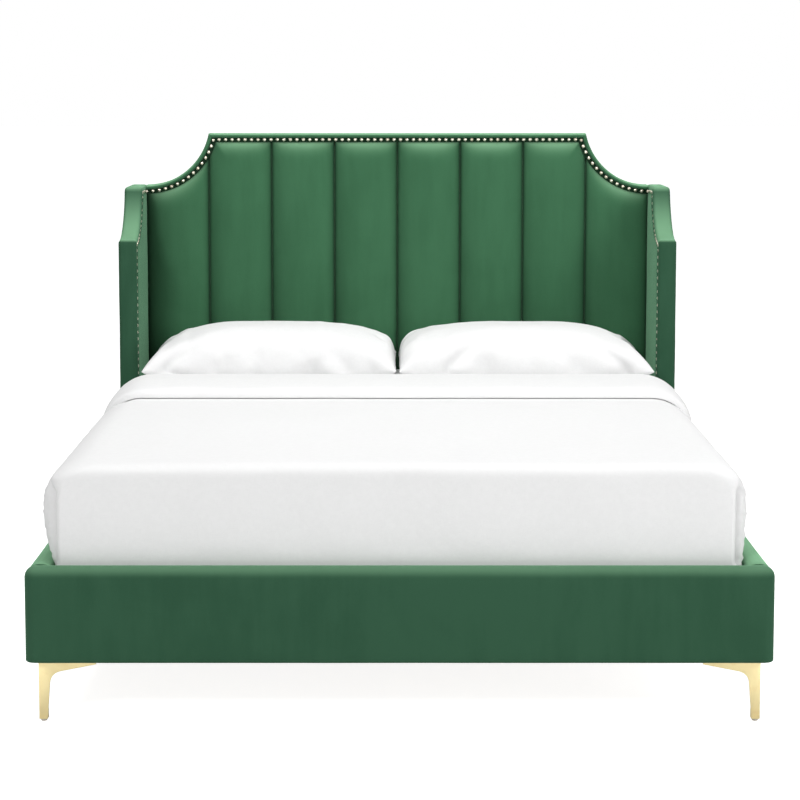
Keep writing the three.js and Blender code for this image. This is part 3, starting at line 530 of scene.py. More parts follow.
def rounded(corners, steps):
    """An outline from corners (x, y, radius), each turned on its radius."""
    made = []
    count = len(corners)
    for i, (x, y, radius) in enumerate(corners):
        here = np.array([x, y])
        before = np.array(corners[i - 1][:2]) - here
        after = np.array(corners[(i + 1) % count][:2]) - here
        before, after = before / np.linalg.norm(before), after / np.linalg.norm(after)
        if radius <= 0:
            made.append(here)
            continue
        half = math.acos(np.clip(before @ after, -1, 1)) / 2
        reach = radius / math.tan(half)
        middle = here + (before + after) / np.linalg.norm(before + after) * radius / math.sin(half)
        a, b = here + before * reach - middle, here + after * reach - middle
        turn = math.pi - 2 * half
        side = 1 if a[0] * b[1] - a[1] * b[0] > 0 else -1
        for k in range(steps + 1):
            angle = side * turn * k / steps
            cos, sin = math.cos(angle), math.sin(angle)
            made.append(middle + np.array([a[0] * cos - a[1] * sin, a[0] * sin + a[1] * cos]))
    return np.array(made)


def signed_area(loop):
    """Area inside an outline, positive when it runs anticlockwise."""
    ahead = np.roll(loop, -1, 0)
    return 0.5 * np.sum(loop[:, 0] * ahead[:, 1] - ahead[:, 0] * loop[:, 1])


def shrunk(loop, distance):
    """An anticlockwise outline moved inwards, mitred, with what would cross over drawn to the mitre."""
    before, after = loop - np.roll(loop, 1, 0), np.roll(loop, -1, 0) - loop
    before /= np.linalg.norm(before, axis=1)[:, None]
    after /= np.linalg.norm(after, axis=1)[:, None]
    n1 = np.stack([-before[:, 1], before[:, 0]], 1)
    n2 = np.stack([-after[:, 1], after[:, 0]], 1)
    share = np.maximum(1 + np.sum(n1 * n2, 1), 0.35)
    moved = loop + (n1 + n2) / share[:, None] * distance
    if distance <= 0:
        return moved
    kept = np.flatnonzero(inside(loop, moved)[1] > distance * 0.985)
    count = len(loop)
    apart = np.abs(np.arange(count)[:, None] - kept[None, :])
    nearest = kept[np.minimum(apart, count - apart).argmin(1)]
    return moved[nearest]


def inside(loop, points):
    """Which points lie inside an outline, and how far each is from it."""
    a, b = loop, np.roll(loop, -1, 0)
    x, y = points[:, 0][:, None], points[:, 1][:, None]
    across = (a[:, 1] > y) != (b[:, 1] > y)
    with np.errstate(divide="ignore", invalid="ignore"):
        cut = a[:, 0] + (y - a[:, 1]) * (b[:, 0] - a[:, 0]) / (b[:, 1] - a[:, 1])
    odd = np.sum(across & (x < cut), axis=1) % 2 == 1
    ahead = b - a
    t = np.clip(((points[:, None, :] - a) * ahead).sum(2) / np.maximum((ahead ** 2).sum(1), 1e-12), 0, 1)
    nearest = np.linalg.norm(points[:, None, :] - (a + ahead * t[..., None]), axis=2).min(1)
    return odd, nearest


def filled(loop, step):
    """Grid points inside an outline, with the triangles that fill it. Indices below len(loop) are its own."""
    low, high = loop.min(0), loop.max(0)
    xs = np.arange(low[0] + step / 2, high[0], step)
    ys = np.arange(low[1] + step / 2, high[1], step)
    grid = np.array([(x + (step / 2 if j % 2 else 0), y) for j, y in enumerate(ys) for x in xs])
    within, nearest = inside(loop, grid)
    grid = grid[within & (nearest > step * 0.55)]
    points = np.vstack([loop, grid]) if len(grid) else loop
    count = len(loop)
    edges = [(i, (i + 1) % count) for i in range(count)]
    result = delaunay_2d_cdt([Vector(p) for p in points], edges, [], 1, 1e-7)
    names = [origin[0] for origin in result[3]]
    return points, [tuple(names[i] for i in face) for face in result[2]]


def padded_slab(name, loop, low, high, edge, place, finish, step, rims, shape):
    """An upholstered slab: an outline with soft edges all round, from height low to high, and place()
    turning (outline point, height) into the frame. rims are more rings on both faces, and shape()
    moves each face's height by its distance from the edge."""
    if signed_area(loop) < 0:
        loop = loop[::-1]
    steps = 5
    levels = []
    for k in range(steps + 1):
        angle = math.pi / 2 * (1 - k / steps)
        levels.append((edge * (1 - math.cos(angle)), low + edge - edge * math.sin(angle)))
    middle = (low + high) / 2
    if high - low - 2 * edge > 0.004:
        levels.append((0.0, middle))
    levels += [(inset, low + high - height) for inset, height in reversed(levels[:steps + 1])]
    rims = sorted(rims)
    levels = [(r, low) for r in reversed(rims)] + levels + [(r, high) for r in rims]
    flat, heights, insets = [], [], []
    for inset, height in levels:
        ring = shrunk(loop, inset)
        flat.append(ring)
        heights.append(np.full(len(loop), height))
        insets.append(np.full(len(loop), inset))
    around = len(loop)
    faces = grid_faces(len(levels), around, wrap=True)
    points, cap = filled(flat[-1], step)
    inner = points[around:]
    distance = inside(loop, inner)[1]
    flat = np.vstack(flat)
    heights, insets = np.concatenate(heights), np.concatenate(insets)
    for height, ring_start in ((low, 0), (high, (len(levels) - 1) * around)):
        start = len(flat)
        flat = np.vstack([flat, inner])
        heights = np.concatenate([heights, np.full(len(inner), height)])
        insets = np.concatenate([insets, distance])
        faces += [tuple(ring_start + i if i < around else start + i - around for i in f) for f in cap]
    heights = shape(flat, heights, insets, heights > middle)
    return piece_from(name, place(flat, heights), faces, finish, 60)


def softened(node, name, finish, width):
    """A merged copy of a frame node with eased edges."""
    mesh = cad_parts[node].data.copy()
    form = bmesh.new()
    form.from_mesh(mesh)
    bmesh.ops.remove_doubles(form, verts=form.verts, dist=2e-6)
    bmesh.ops.dissolve_limit(form, angle_limit=math.radians(2), verts=form.verts, edges=form.edges)
    form.to_mesh(mesh)
    form.free()
    mesh.materials.clear()
    mesh.materials.append(material(finish))
    mesh.shade_smooth()
    mesh.name = name
    piece = bpy.data.objects.new(name, mesh)
    bpy.context.scene.collection.objects.link(piece)
    bevel = piece.modifiers.new("Eased edges", "BEVEL")
    bevel.width, bevel.segments, bevel.limit_method = width, 2, "ANGLE"
    bevel.angle_limit = math.radians(40)
    bevel.harden_normals = False
    baked(piece)
    piece.data.set_sharp_from_angle(angle=math.radians(35))
    return piece


# ---------------------------------------------------------------- geometry node groups
def set_inputs(modifier, values):
    """Sets a node modifier's inputs by their sockets' identifiers."""
    for item in modifier.node_group.interface.items_tree:
        if item.item_type == "SOCKET" and item.in_out == "INPUT" and item.name in values:
            modifier[item.identifier] = values[item.name]


def grown(name, tree_name, points, edges, values):
    """A piece made by a geometry node group from a few points, as a plain mesh."""
    mesh = bpy.data.meshes.new(name)
    mesh.from_pydata([tuple(p) for p in points], edges, [])
    piece = bpy.data.objects.new(name, mesh)
    bpy.context.scene.collection.objects.link(piece)
    modifier = piece.modifiers.new("Build", "NODES")
    modifier.node_group = bpy.data.node_groups[tree_name]
    set_inputs(modifier, values)
    return baked(piece)


def path_edges(count):
    """Edges that join points one after another."""
    return [(i, i + 1) for i in range(count - 1)]


def end_tree(tree, geometry, given, out):
    """Ends a node group with real meshes in their finish."""
    real = put(tree, "GeometryNodeRealizeInstances", {"Geometry": geometry})
    shown = put(tree, "GeometryNodeSetMaterial", {
        "Geometry": real.outputs["Geometry"], "Material": given.outputs["Material"]})
    tree.links.new(shown.outputs["Geometry"], out.inputs["Geometry"])


def domes_along_group():
    """Domed heads at even distances along a line."""
    tree, given, out = new_group("Domes along a line", "GeometryNodeTree", [
        ("Geometry", "NodeSocketGeometry"), ("Spacing", "NodeSocketFloat", 0.02),
        ("Width", "NodeSocketFloat", 0.011), ("Height", "NodeSocketFloat", 0.004),
        ("Facing", "NodeSocketVector"), ("Material", "NodeSocketMaterial"),
    ], [("Geometry", "NodeSocketGeometry")])
    line = put(tree, "GeometryNodeMeshToCurve", {"Mesh": given.outputs["Geometry"]})
    evenly = put(tree, "GeometryNodeResampleCurve", {
        "Curve": line.outputs["Curve"], "Length": given.outputs["Spacing"]}, mode="LENGTH")
    ball = put(tree, "GeometryNodeMeshUVSphere", {"Segments": 14, "Rings": 8, "Radius": 0.5})
    size = put(tree, "ShaderNodeCombineXYZ", {
        "X": given.outputs["Width"], "Y": given.outputs["Width"],
        "Z": maths(tree, "MULTIPLY", given.outputs["Height"], 2.0)})
    squashed = put(tree, "GeometryNodeTransform", {
        "Geometry": ball.outputs["Mesh"], "Scale": size.outputs[0]})
    turn = put(tree, "FunctionNodeEulerToRotation", {0: given.outputs["Facing"]})
    faced = put(tree, "GeometryNodeTransform", {
        "Geometry": squashed.outputs["Geometry"], "Rotation": turn.outputs[0]})
    copies = put(tree, "GeometryNodeInstanceOnPoints", {
        "Points": evenly.outputs["Curve"], "Instance": faced.outputs["Geometry"]})
    smooth_shade = put(tree, "GeometryNodeSetShadeSmooth", {"Geometry": copies.outputs["Instances"]})
    end_tree(tree, smooth_shade.outputs["Geometry"], given, out)
    return tree


def stitches_along_group():
    """Stitches end to end along a line, each lying along it."""
    tree, given, out = new_group("Stitches along a line", "GeometryNodeTree", [
        ("Geometry", "NodeSocketGeometry"), ("Pitch", "NodeSocketFloat", 0.006),
        ("Length", "NodeSocketFloat", 0.0045), ("Thread", "NodeSocketFloat", 0.001),
        ("Material", "NodeSocketMaterial"),
    ], [("Geometry", "NodeSocketGeometry")])
    line = put(tree, "GeometryNodeMeshToCurve", {"Mesh": given.outputs["Geometry"]})
    evenly = put(tree, "GeometryNodeResampleCurve", {
        "Curve": line.outputs["Curve"], "Length": given.outputs["Pitch"]}, mode="LENGTH")
    bead = put(tree, "GeometryNodeMeshUVSphere", {"Segments": 6, "Rings": 5, "Radius": 0.5})
    size = put(tree, "ShaderNodeCombineXYZ", {
        "X": given.outputs["Thread"], "Y": given.outputs["Thread"], "Z": given.outputs["Length"]})
    long_bead = put(tree, "GeometryNodeTransform", {
        "Geometry": bead.outputs["Mesh"], "Scale": size.outputs[0]})
    tangent = put(tree, "GeometryNodeInputTangent")
    turn = put(tree, "FunctionNodeAlignRotationToVector", {"Vector": tangent.outputs[0]}, axis="Z")
    copies = put(tree, "GeometryNodeInstanceOnPoints", {
        "Points": evenly.outputs["Curve"], "Instance": long_bead.outputs["Geometry"],
        "Rotation": turn.outputs[0]})
    smooth_shade = put(tree, "GeometryNodeSetShadeSmooth", {"Geometry": copies.outputs["Instances"]})
    end_tree(tree, smooth_shade.outputs["Geometry"], given, out)
    return tree


def bolts_on_points_group():
    """A washer and a hexagonal head on every point, all facing one way."""
    tree, given, out = new_group("Bolts on points", "GeometryNodeTree", [
        ("Geometry", "NodeSocketGeometry"), ("Width", "NodeSocketFloat", 0.013),
        ("Height", "NodeSocketFloat", 0.005), ("Facing", "NodeSocketVector"),
        ("Material", "NodeSocketMaterial"),
    ], [("Geometry", "NodeSocketGeometry")])
    half = maths(tree, "MULTIPLY", given.outputs["Width"], 0.5)
    thin = maths(tree, "MULTIPLY", given.outputs["Height"], 0.25)
    head = put(tree, "GeometryNodeMeshCylinder", {
        "Vertices": 6, "Radius": half, "Depth": given.outputs["Height"]})
    washer = put(tree, "GeometryNodeMeshCylinder", {
        "Vertices": 20, "Radius": maths(tree, "MULTIPLY", half, 1.45), "Depth": thin})
    head_at = put(tree, "ShaderNodeCombineXYZ", {
        "Z": maths(tree, "MULTIPLY", given.outputs["Height"], 0.72)})
    washer_at = put(tree, "ShaderNodeCombineXYZ", {"Z": maths(tree, "MULTIPLY", thin, 0.5)})
    parts = [
        put(tree, "GeometryNodeTransform", {
            "Geometry": mesh.outputs["Mesh"], "Translation": at.outputs[0]}).outputs["Geometry"]
        for mesh, at in ((head, head_at), (washer, washer_at))
    ]
    joined = put(tree, "GeometryNodeJoinGeometry")
    for part in parts:
        tree.links.new(part, joined.inputs["Geometry"])
    turn = put(tree, "FunctionNodeEulerToRotation", {0: given.outputs["Facing"]})
    faced = put(tree, "GeometryNodeTransform", {
        "Geometry": joined.outputs["Geometry"], "Rotation": turn.outputs[0]})
    copies = put(tree, "GeometryNodeInstanceOnPoints", {
        "Points": given.outputs["Geometry"], "Instance": faced.outputs["Geometry"]})
    end_tree(tree, copies.outputs["Instances"], given, out)
    return tree


def row_of_copies_group():
    """Copies of the mesh itself in a straight row."""
    tree, given, out = new_group("Row of copies", "GeometryNodeTree", [
        ("Geometry", "NodeSocketGeometry"), ("Count", "NodeSocketInt", 11),
        ("Step", "NodeSocketVector", (0.0, 0.19, 0.0)), ("Material", "NodeSocketMaterial"),
    ], [("Geometry", "NodeSocketGeometry")])
    row = put(tree, "GeometryNodeMeshLine", {
        "Count": given.outputs["Count"], "Offset": given.outputs["Step"]})
    copies = put(tree, "GeometryNodeInstanceOnPoints", {
        "Points": row.outputs["Mesh"], "Instance": given.outputs["Geometry"]})
    end_tree(tree, copies.outputs["Instances"], given, out)
    return tree


# ---------------------------------------------------------------- outlines
def shoulder_circle(sizes):
    """Centre height and radius of the scoop at the headboard's shoulders, centred above its side."""
    top, drop, width = BACK_HIGH.z, sizes.shoulder_drop, sizes.shoulder_width
    radius = (width ** 2 + drop ** 2) / (2 * drop)
    return top - drop + radius, radius


def headboard_line(sizes, inset, arc_steps=44, top_steps=150):
    """The headboard's edge from its left side over the top to its right, moved inwards."""
    centre, radius = shoulder_circle(sizes)
    grown_radius, level = radius + inset, BACK_HIGH.z - inset
    start = math.asin(min(1.0, (centre - level) / grown_radius))
    arc = [
        (HALF_INSIDE - GAP - grown_radius * math.cos(a), centre - grown_radius * math.sin(a))
        for a in np.linspace(math.pi / 2, start, arc_steps)
    ]
    left = [(-x, z) for x, z in arc]
    corner = left[-1][0]
    across = [(x, level) for x in np.linspace(corner, -corner, top_steps)[1:-1]]
    return np.array(left + across + arc[::-1])


def wing_circle(sizes):
    """Centre height and radius of the scoop at the wing's front, centred above its front edge."""
    height, depth = sizes.wing_scoop_height, sizes.wing_scoop_depth
    radius = (depth ** 2 + height ** 2) / (2 * height)
    return WING_HIGH.z - height + radius, radius


def wing_line(sizes, inset, arc_steps=34):
    """The wing's scoop from its front edge up to its top, in (y, z), moved inwards."""
    centre, radius = wing_circle(sizes)
    grown_radius, level = radius + inset, WING_HIGH.z - inset
    start = math.asin(min(1.0, (centre - level) / grown_radius))
    front = math.acos(min(1.0, inset / grown_radius)) if inset > 0 else math.pi / 2
    return np.array([
        (WING_LOW.y + grown_radius * math.cos(a), centre - grown_radius * math.sin(a))
        for a in np.linspace(front, start, arc_steps)
    ])


# ---------------------------------------------------------------- headboard
def channel_inset(sizes):
    """Distance of the channels from the headboard's edge: they start under the rim of the nailheads."""
    return sizes.nail_inset + sizes.nail_width / 2 + 0.0005


def channel_depth(x, z, low_x, high_x, sizes):
    """How far a channel's face stands out from its seams, from 0 to 1, at a point of the headboard."""
    centre, radius = shoulder_circle(sizes)
    edge = channel_inset(sizes)
    across = np.abs(2 * (x - low_x) / (high_x - low_x) - 1)
    to_top = BACK_HIGH.z - edge - z
    to_scoop = np.hypot(HALF_INSIDE - np.abs(x), centre - z) - radius - edge
    to_bottom = z - PAD_LOW.z
    near = np.minimum(np.minimum(to_top, to_scoop), to_bottom)
    crown = (1 - np.clip(across, 0, 1) ** 2.5) ** 0.60
    fall = np.clip(near / sizes.channel_fall, 0, 1)
    return crown * (1 - (1 - fall) ** 3) ** 0.55, (1 - across) * (high_x - low_x) / 2, near


def mark_painted_shade(piece, painted_shade_at):
    """Records how much painted shade each point gets, for the velvet's colour to darken there."""
    mesh = piece.data
    co = np.zeros(len(mesh.vertices) * 3)
    mesh.vertices.foreach_get("co", co)
    tight = np.clip(painted_shade_at(co.reshape(-1, 3)), 0, 1)
    mesh.attributes.new("crushed", "FLOAT", "POINT").data.foreach_set("value", tight.astype(np.float32))


def channel_pad(index, sizes):
    """One crowned channel of the headboard, sewn down along its sides and its top."""
    node = f"channel_pad_{index}"
    low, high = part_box(node)
    centre, radius = shoulder_circle(sizes)
    edge = channel_inset(sizes)
    columns, rows = 53, 130
    u = np.linspace(-1, 1, columns)
    u = np.sign(u) * (1 - (1 - np.abs(u)) ** 1.5)
    xs = (low.x + high.x) / 2 + u * (high.x - low.x) / 2
    away = HALF_INSIDE - np.abs(xs)
    reach = radius + edge
    under_scoop = centre - np.sqrt(np.maximum(reach ** 2 - away ** 2, 0))
    level = BACK_HIGH.z - edge
    tops = np.where(away < reach, np.minimum(level, under_scoop), level)
    v = np.linspace(0, 1, rows)
    v = 1 - (1 - v) ** 1.35
    x, z = np.meshgrid(xs, v)
    z = low.z + z * (tops[None, :] - low.z)
    depth, to_seam, _ = channel_depth(x, z, low.x, high.x, sizes)
    valley = BORDER_LOW.y + 0.0200
    full = valley - low.y
    flat = np.stack([x.ravel(), z.ravel()], 1)
    slow = wander(flat, 0.34, 40 + index).reshape(x.shape)
    quick = wander(flat * (6.0, 1.0), 0.045, 60 + index).reshape(x.shape)
    pucker = quick * np.exp(-to_seam / 0.011) * 0.0011 * smooth(depth, 0.0, 0.3)
    y = valley - full * depth * (0.94 + 0.045 * slow) - pucker
    front = np.stack([x, y, z], 2).reshape(-1, 3)
    back_y = BOARD_LOW.y - GAP
    rim = ([c for c in range(columns)] + [r * columns + columns - 1 for r in range(1, rows)]
           + [(rows - 1) * columns + c for c in range(columns - 2, -1, -1)]
           + [r * columns for r in range(rows - 2, 0, -1)])
    rear = front[rim].copy()
    rear[:, 1] = back_y
    count = len(front)
    faces = grid_faces(rows, columns)
    faces += [(rim[i], rim[(i + 1) % len(rim)], count + (i + 1) % len(rim), count + i)
              for i in range(len(rim))]
    faces.append(tuple(range(count, count + len(rim))))
    piece = piece_from(f"headboard_channel_{index}", np.vstack([front, rear]), faces,
                       "channel velvet", 60)

    # Painted shade: darker velvet along the seams and the top edge, a painted shade beside each channel's
    # left seam that is stronger lower down, and on channel 1 a painted shadow of the left wing.
    def painted_seam_shade(co):
        _, seam, edge = channel_depth(co[:, 0], co[:, 2], low.x, high.x, sizes)
        sewn = np.maximum(np.exp(-np.maximum(seam, 0) / 0.0060),
                          0.9 * np.exp(-np.maximum(edge, 0) / 0.0032))
        lower_down = 1 - smooth(co[:, 2], 0.55, 1.2)
        strength, reach = (0.85, 0.050) if index == 1 else (0.16 + 0.42 * lower_down, 0.028)
        painted_side_shade = strength * np.exp(-(co[:, 0] - low.x) / reach)
        return np.maximum(sewn, painted_side_shade)

    mark_painted_shade(piece, painted_seam_shade)
    return settle(piece, "frame", "velvet", node, fill=0.75, nap_and_painted_light=1.15)


def border_section(sizes):
    """Section of the headboard's border as (inset, y): a padded roll, then the groove of the nailheads."""
    roll = sizes.roll_width
    front, seat = BORDER_LOW.y, NAIL_SEAT
    band = BACK_HIGH.z - BORDER_INSIDE
    cap = BOARD_HIGH.z - BACK_HIGH.z
    points = [(0.0, BORDER_HIGH.y), (0.0, (front + BORDER_HIGH.y) / 2 + 0.01),
              (0.0, (front + BORDER_HIGH.y) / 2 - 0.01)]
    for k in range(15):
        angle = math.pi * k / 14
        points.append((roll / 2 - roll / 2 * math.cos(angle),
                       seat - 0.0015 - (seat - front - 0.0005) * math.sin(angle) ** 0.85))
    points += [(roll + 0.0008, seat + 0.0012), (sizes.nail_inset, seat + 0.0006),
               (band - 0.002, seat + 0.0010), (band, seat + 0.004), (band, BOARD_LOW.y - GAP),
               (-cap - GAP, BOARD_LOW.y - GAP), (-cap - GAP, BORDER_HIGH.y)]
    return points


def headboard_border(sizes):
    """The padded border that follows the headboard's top and shoulders."""
    section = border_section(sizes)
    lines = [headboard_line(sizes, inset) for inset, _ in section]
    stations = len(lines[0])
    points = np.zeros((stations, len(section), 3))
    for j, (line, (inset, y)) in enumerate(zip(lines, section)):
        points[:, j, 0], points[:, j, 2], points[:, j, 1] = line[:, 0], line[:, 1], y
    front = points[..., 1] < BORDER_LOW.y + 0.012
    ripple = wander(points[..., [0, 2]].reshape(-1, 2), 0.05, 5).reshape(points.shape[:2])
    points[..., 1] += np.where(front, ripple * 0.0005, 0.0)
    piece = loft("headboard_edge_roll", points, "roll velvet", sharp=50)
    centre, radius = shoulder_circle(sizes)

    # Painted shade in the groove of the nailheads.
    def painted_groove_shade(co):
        to_scoop = np.hypot(HALF_INSIDE - np.abs(co[:, 0]), centre - co[:, 2]) - radius
        inset = np.minimum(BACK_HIGH.z - co[:, 2], to_scoop)
        return smooth(inset, sizes.roll_width - 0.003, sizes.roll_width + 0.001)

    mark_painted_shade(piece, painted_groove_shade)
    return settle(piece, "frame", "velvet", "headboard_border", fill=0.8)


def headboard_back(sizes):
    """The cover stretched over the back of the headboard."""
    top = headboard_line(sizes, 0.0, 26, 80)
    side = BACK_HIGH.x
    outline = [(-side, BACK_LOW.z), (side, BACK_LOW.z)] + [tuple(p) for p in top[::-1]]
    loop = dense(outline, 0.014)

    def shape(flat, heights, insets, front):
        swell = 0.0012 * (1 - np.exp(-insets / 0.05)) * (1 + 0.5 * wander(flat, 0.3, 11))
        return heights + np.where(front, swell, 0.0)

    def place(flat, heights):
        return np.stack([flat[:, 0], heights, flat[:, 1]], 1)

    piece = padded_slab("headboard_back_panel", loop, BACK_LOW.y, BACK_HIGH.y, 0.0022, place,
                        "cover velvet", 0.024, (0.008, 0.016), shape)
    return settle(piece, "frame", "velvet", "headboard_back_cover", fill=0.2)


class BED_OT_headboard(bpy.types.Operator):
    """Builds the headboard's channels, its rolled border and its back panel"""

    bl_idname = "bed.headboard"
    bl_label = "Headboard"

    def execute(self, context):
        sizes = context.scene.velvet_bed_sizes
        for index in range(1, 9):
            channel_pad(index, sizes)
        headboard_border(sizes)
        headboard_back(sizes)
        return {"FINISHED"}


# ---------------------------------------------------------------- wings, rails and footboard
def wing(side, name, sizes):
    """One wing: a soft slab with a scooped front shoulder and a groove for its nailheads."""
    ease = 0.007
    scoop_line = wing_line(sizes, 0.0)[2:-1]
    top_corner = scoop_line[-1][0] + 0.004
    outline = [(WING_LOW.y + 0.002, WING_LOW.z), (WING_HIGH.y, WING_LOW.z),
               (WING_HIGH.y, WING_HIGH.z - ease), (WING_HIGH.y - ease, WING_HIGH.z)]
    outline += [(top_corner + 0.008, WING_HIGH.z), (top_corner + 0.001, WING_HIGH.z - 0.003)]
    outline += [tuple(p) for p in scoop_line[::-1]]
    ledge = scoop_line[0]
    rim = min(0.008, ledge[0] - WING_LOW.y)
    outline += [(WING_LOW.y + rim * (1 - math.sin(a)), ledge[1] - rim * (1 - math.cos(a)))
                for a in np.linspace(0, math.pi / 2, 5)[1:]]
    outline += [(WING_LOW.y, WING_LOW.z + 0.002)]
    loop = dense(outline, 0.010)
    inner_is_high = side < 0

    def shape(flat, heights, insets, front):
        inner = front if inner_is_high else ~front
        sign = np.where(front, 1.0, -1.0)
        soft = 1 - np.exp(-insets / 0.03)
        swell = sizes.cover_softness * soft * (1 + 0.6 * wander(flat, 0.25, 21 + side))
        groove = 0.0036 * np.exp(-((insets - sizes.nail_inset) / 0.0045) ** 2)
        inward = inner & (flat[:, 1] > 0.45) & (flat[:, 0] < BORDER_LOW.y)
        low_part = inner & (flat[:, 1] < BESIDE_RAIL)
        swell = np.where(low_part, 0.0, swell)
        swell = np.where(inner, np.minimum(swell, 0.0015), swell)
        pucker = 0.0004 * wander(flat, 0.03, 31) * np.exp(-insets / 0.02)
        return heights + sign * (swell + pucker - np.where(inward, groove, 0.0))

    def place(flat, heights):
        return np.stack([heights, flat[:, 0], flat[:, 1]], 1)

    low, high = (WING_LOW.x, WING_HIGH.x) if side > 0 else (-WING_HIGH.x, -WING_LOW.x)
    rims = (0.0140, 0.0165, sizes.nail_inset, 0.0205, 0.0225, 0.026, 0.032)
    piece = padded_slab(f"wing_{name}", loop, low, high, 0.0110, place, "cover velvet", 0.015, rims, shape)
    centre, radius = wing_circle(sizes)

    # Painted shade in the nailheads' groove on the wing's inner face.
    def painted_nail_groove_shade(co):
        to_scoop = np.hypot(co[:, 1] - WING_LOW.y, centre - co[:, 2]) - radius
        inset = np.minimum(np.minimum(co[:, 1] - WING_LOW.y, WING_HIGH.z - co[:, 2]), to_scoop)
        facing_in = (np.abs(co[:, 0]) < HALF_INSIDE + 0.01) & (co[:, 2] > BESIDE_RAIL)
        return np.where(facing_in, np.exp(-((inset - sizes.nail_inset) / 0.006) ** 2), 0.0)

    mark_painted_shade(piece, painted_nail_groove_shade)
    return settle(piece, "frame", "velvet", f"wing_cover_{name}", fill=0.7, nap_and_painted_light=0.7)


def soft_bar_profile(outer, inner, bottom, top, core_outer, core_inner, core_top, edge, swell):
    """Section of a padded bar that wraps a wooden core from above, open under the core, as (x, z)."""
    points = []
    wall = np.linspace(bottom + 0.003, top - edge, 16)
    rise = (wall - bottom) / (top - bottom)
    for z, r in zip(wall, rise):
        points.append((outer + swell * math.sin(math.pi * r), z))
    for k in range(1, 9):
        angle = math.pi / 2 * k / 8
        points.append((outer - edge + edge * math.cos(angle), top - edge + edge * math.sin(angle)))
    for x in np.linspace(outer - edge, inner + edge, 5)[1:-1]:
        points.append((x, top + 0.0006))
    for k in range(0, 9):
        angle = math.pi / 2 * (1 - k / 8)
        points.append((inner + edge - edge * math.cos(angle), top - edge + edge * math.sin(angle)))
    points += [(inner, z) for z in wall[::-1][1:]]
    points += [(inner + 0.002, bottom), (core_inner - GAP, bottom), (core_inner - GAP, core_top),
               (core_outer + GAP, core_top), (core_outer + GAP, bottom), (outer - 0.002, bottom)]
    return np.array(points)


def rail(side, name, sizes):
    """One side rail's padded cover, drawn over its core from above."""
    profile = soft_bar_profile(RAIL_HIGH.x, RAIL_LOW.x, RAIL_LOW.z, RAIL_HIGH.z, CORE_HIGH.x, CORE_LOW.x,
                               CORE_HIGH.z + GAP, 0.0215, sizes.cover_softness)
    start, end = RAIL_LOW.y, RAIL_HIGH.y
    ys = np.concatenate([[start, start + 0.001, start + 0.003], np.linspace(start + 0.008, end - 0.008, 130),
                         [end - 0.003, end - 0.001, end]])
    middle = np.array([(RAIL_LOW.x + RAIL_HIGH.x) / 2, 0.0])
    sections = []
    outside = (profile[:, 0] > CORE_HIGH.x + 0.001) | (profile[:, 0] < CORE_LOW.x - 0.001)
    outside |= profile[:, 1] > CORE_HIGH.z + 0.001
    for y in ys:
        end_gap = min(y - start, end - y)
        pull = 0.0028 * (1 - math.sqrt(max(0.0, 1 - (1 - min(end_gap / 0.006, 1.0)) ** 2)))
        shift = profile - middle
        section = profile.copy()
        section[outside, 0] -= np.sign(shift[outside, 0]) * pull
        tall = outside & (profile[:, 1] > RAIL_HIGH.z - 0.03)
        section[tall, 1] -= pull
        ripple = wander(np.stack([np.full(len(profile), y) * 0.5, profile[:, 1], profile[:, 0]], 1), 0.11, 3)
        section[outside & (shift[:, 0] > 0), 0] += 0.0006 * ripple[outside & (shift[:, 0] > 0)]
        sections.append(np.stack([side * section[:, 0], np.full(len(profile), y), section[:, 1]], 1))
    piece = loft(f"side_rail_{name}", sections, "cover velvet", sharp=50)
    return settle(piece, "frame", "velvet", f"rail_cover_{name}", fill=0.7, nap_and_painted_light=1.2)


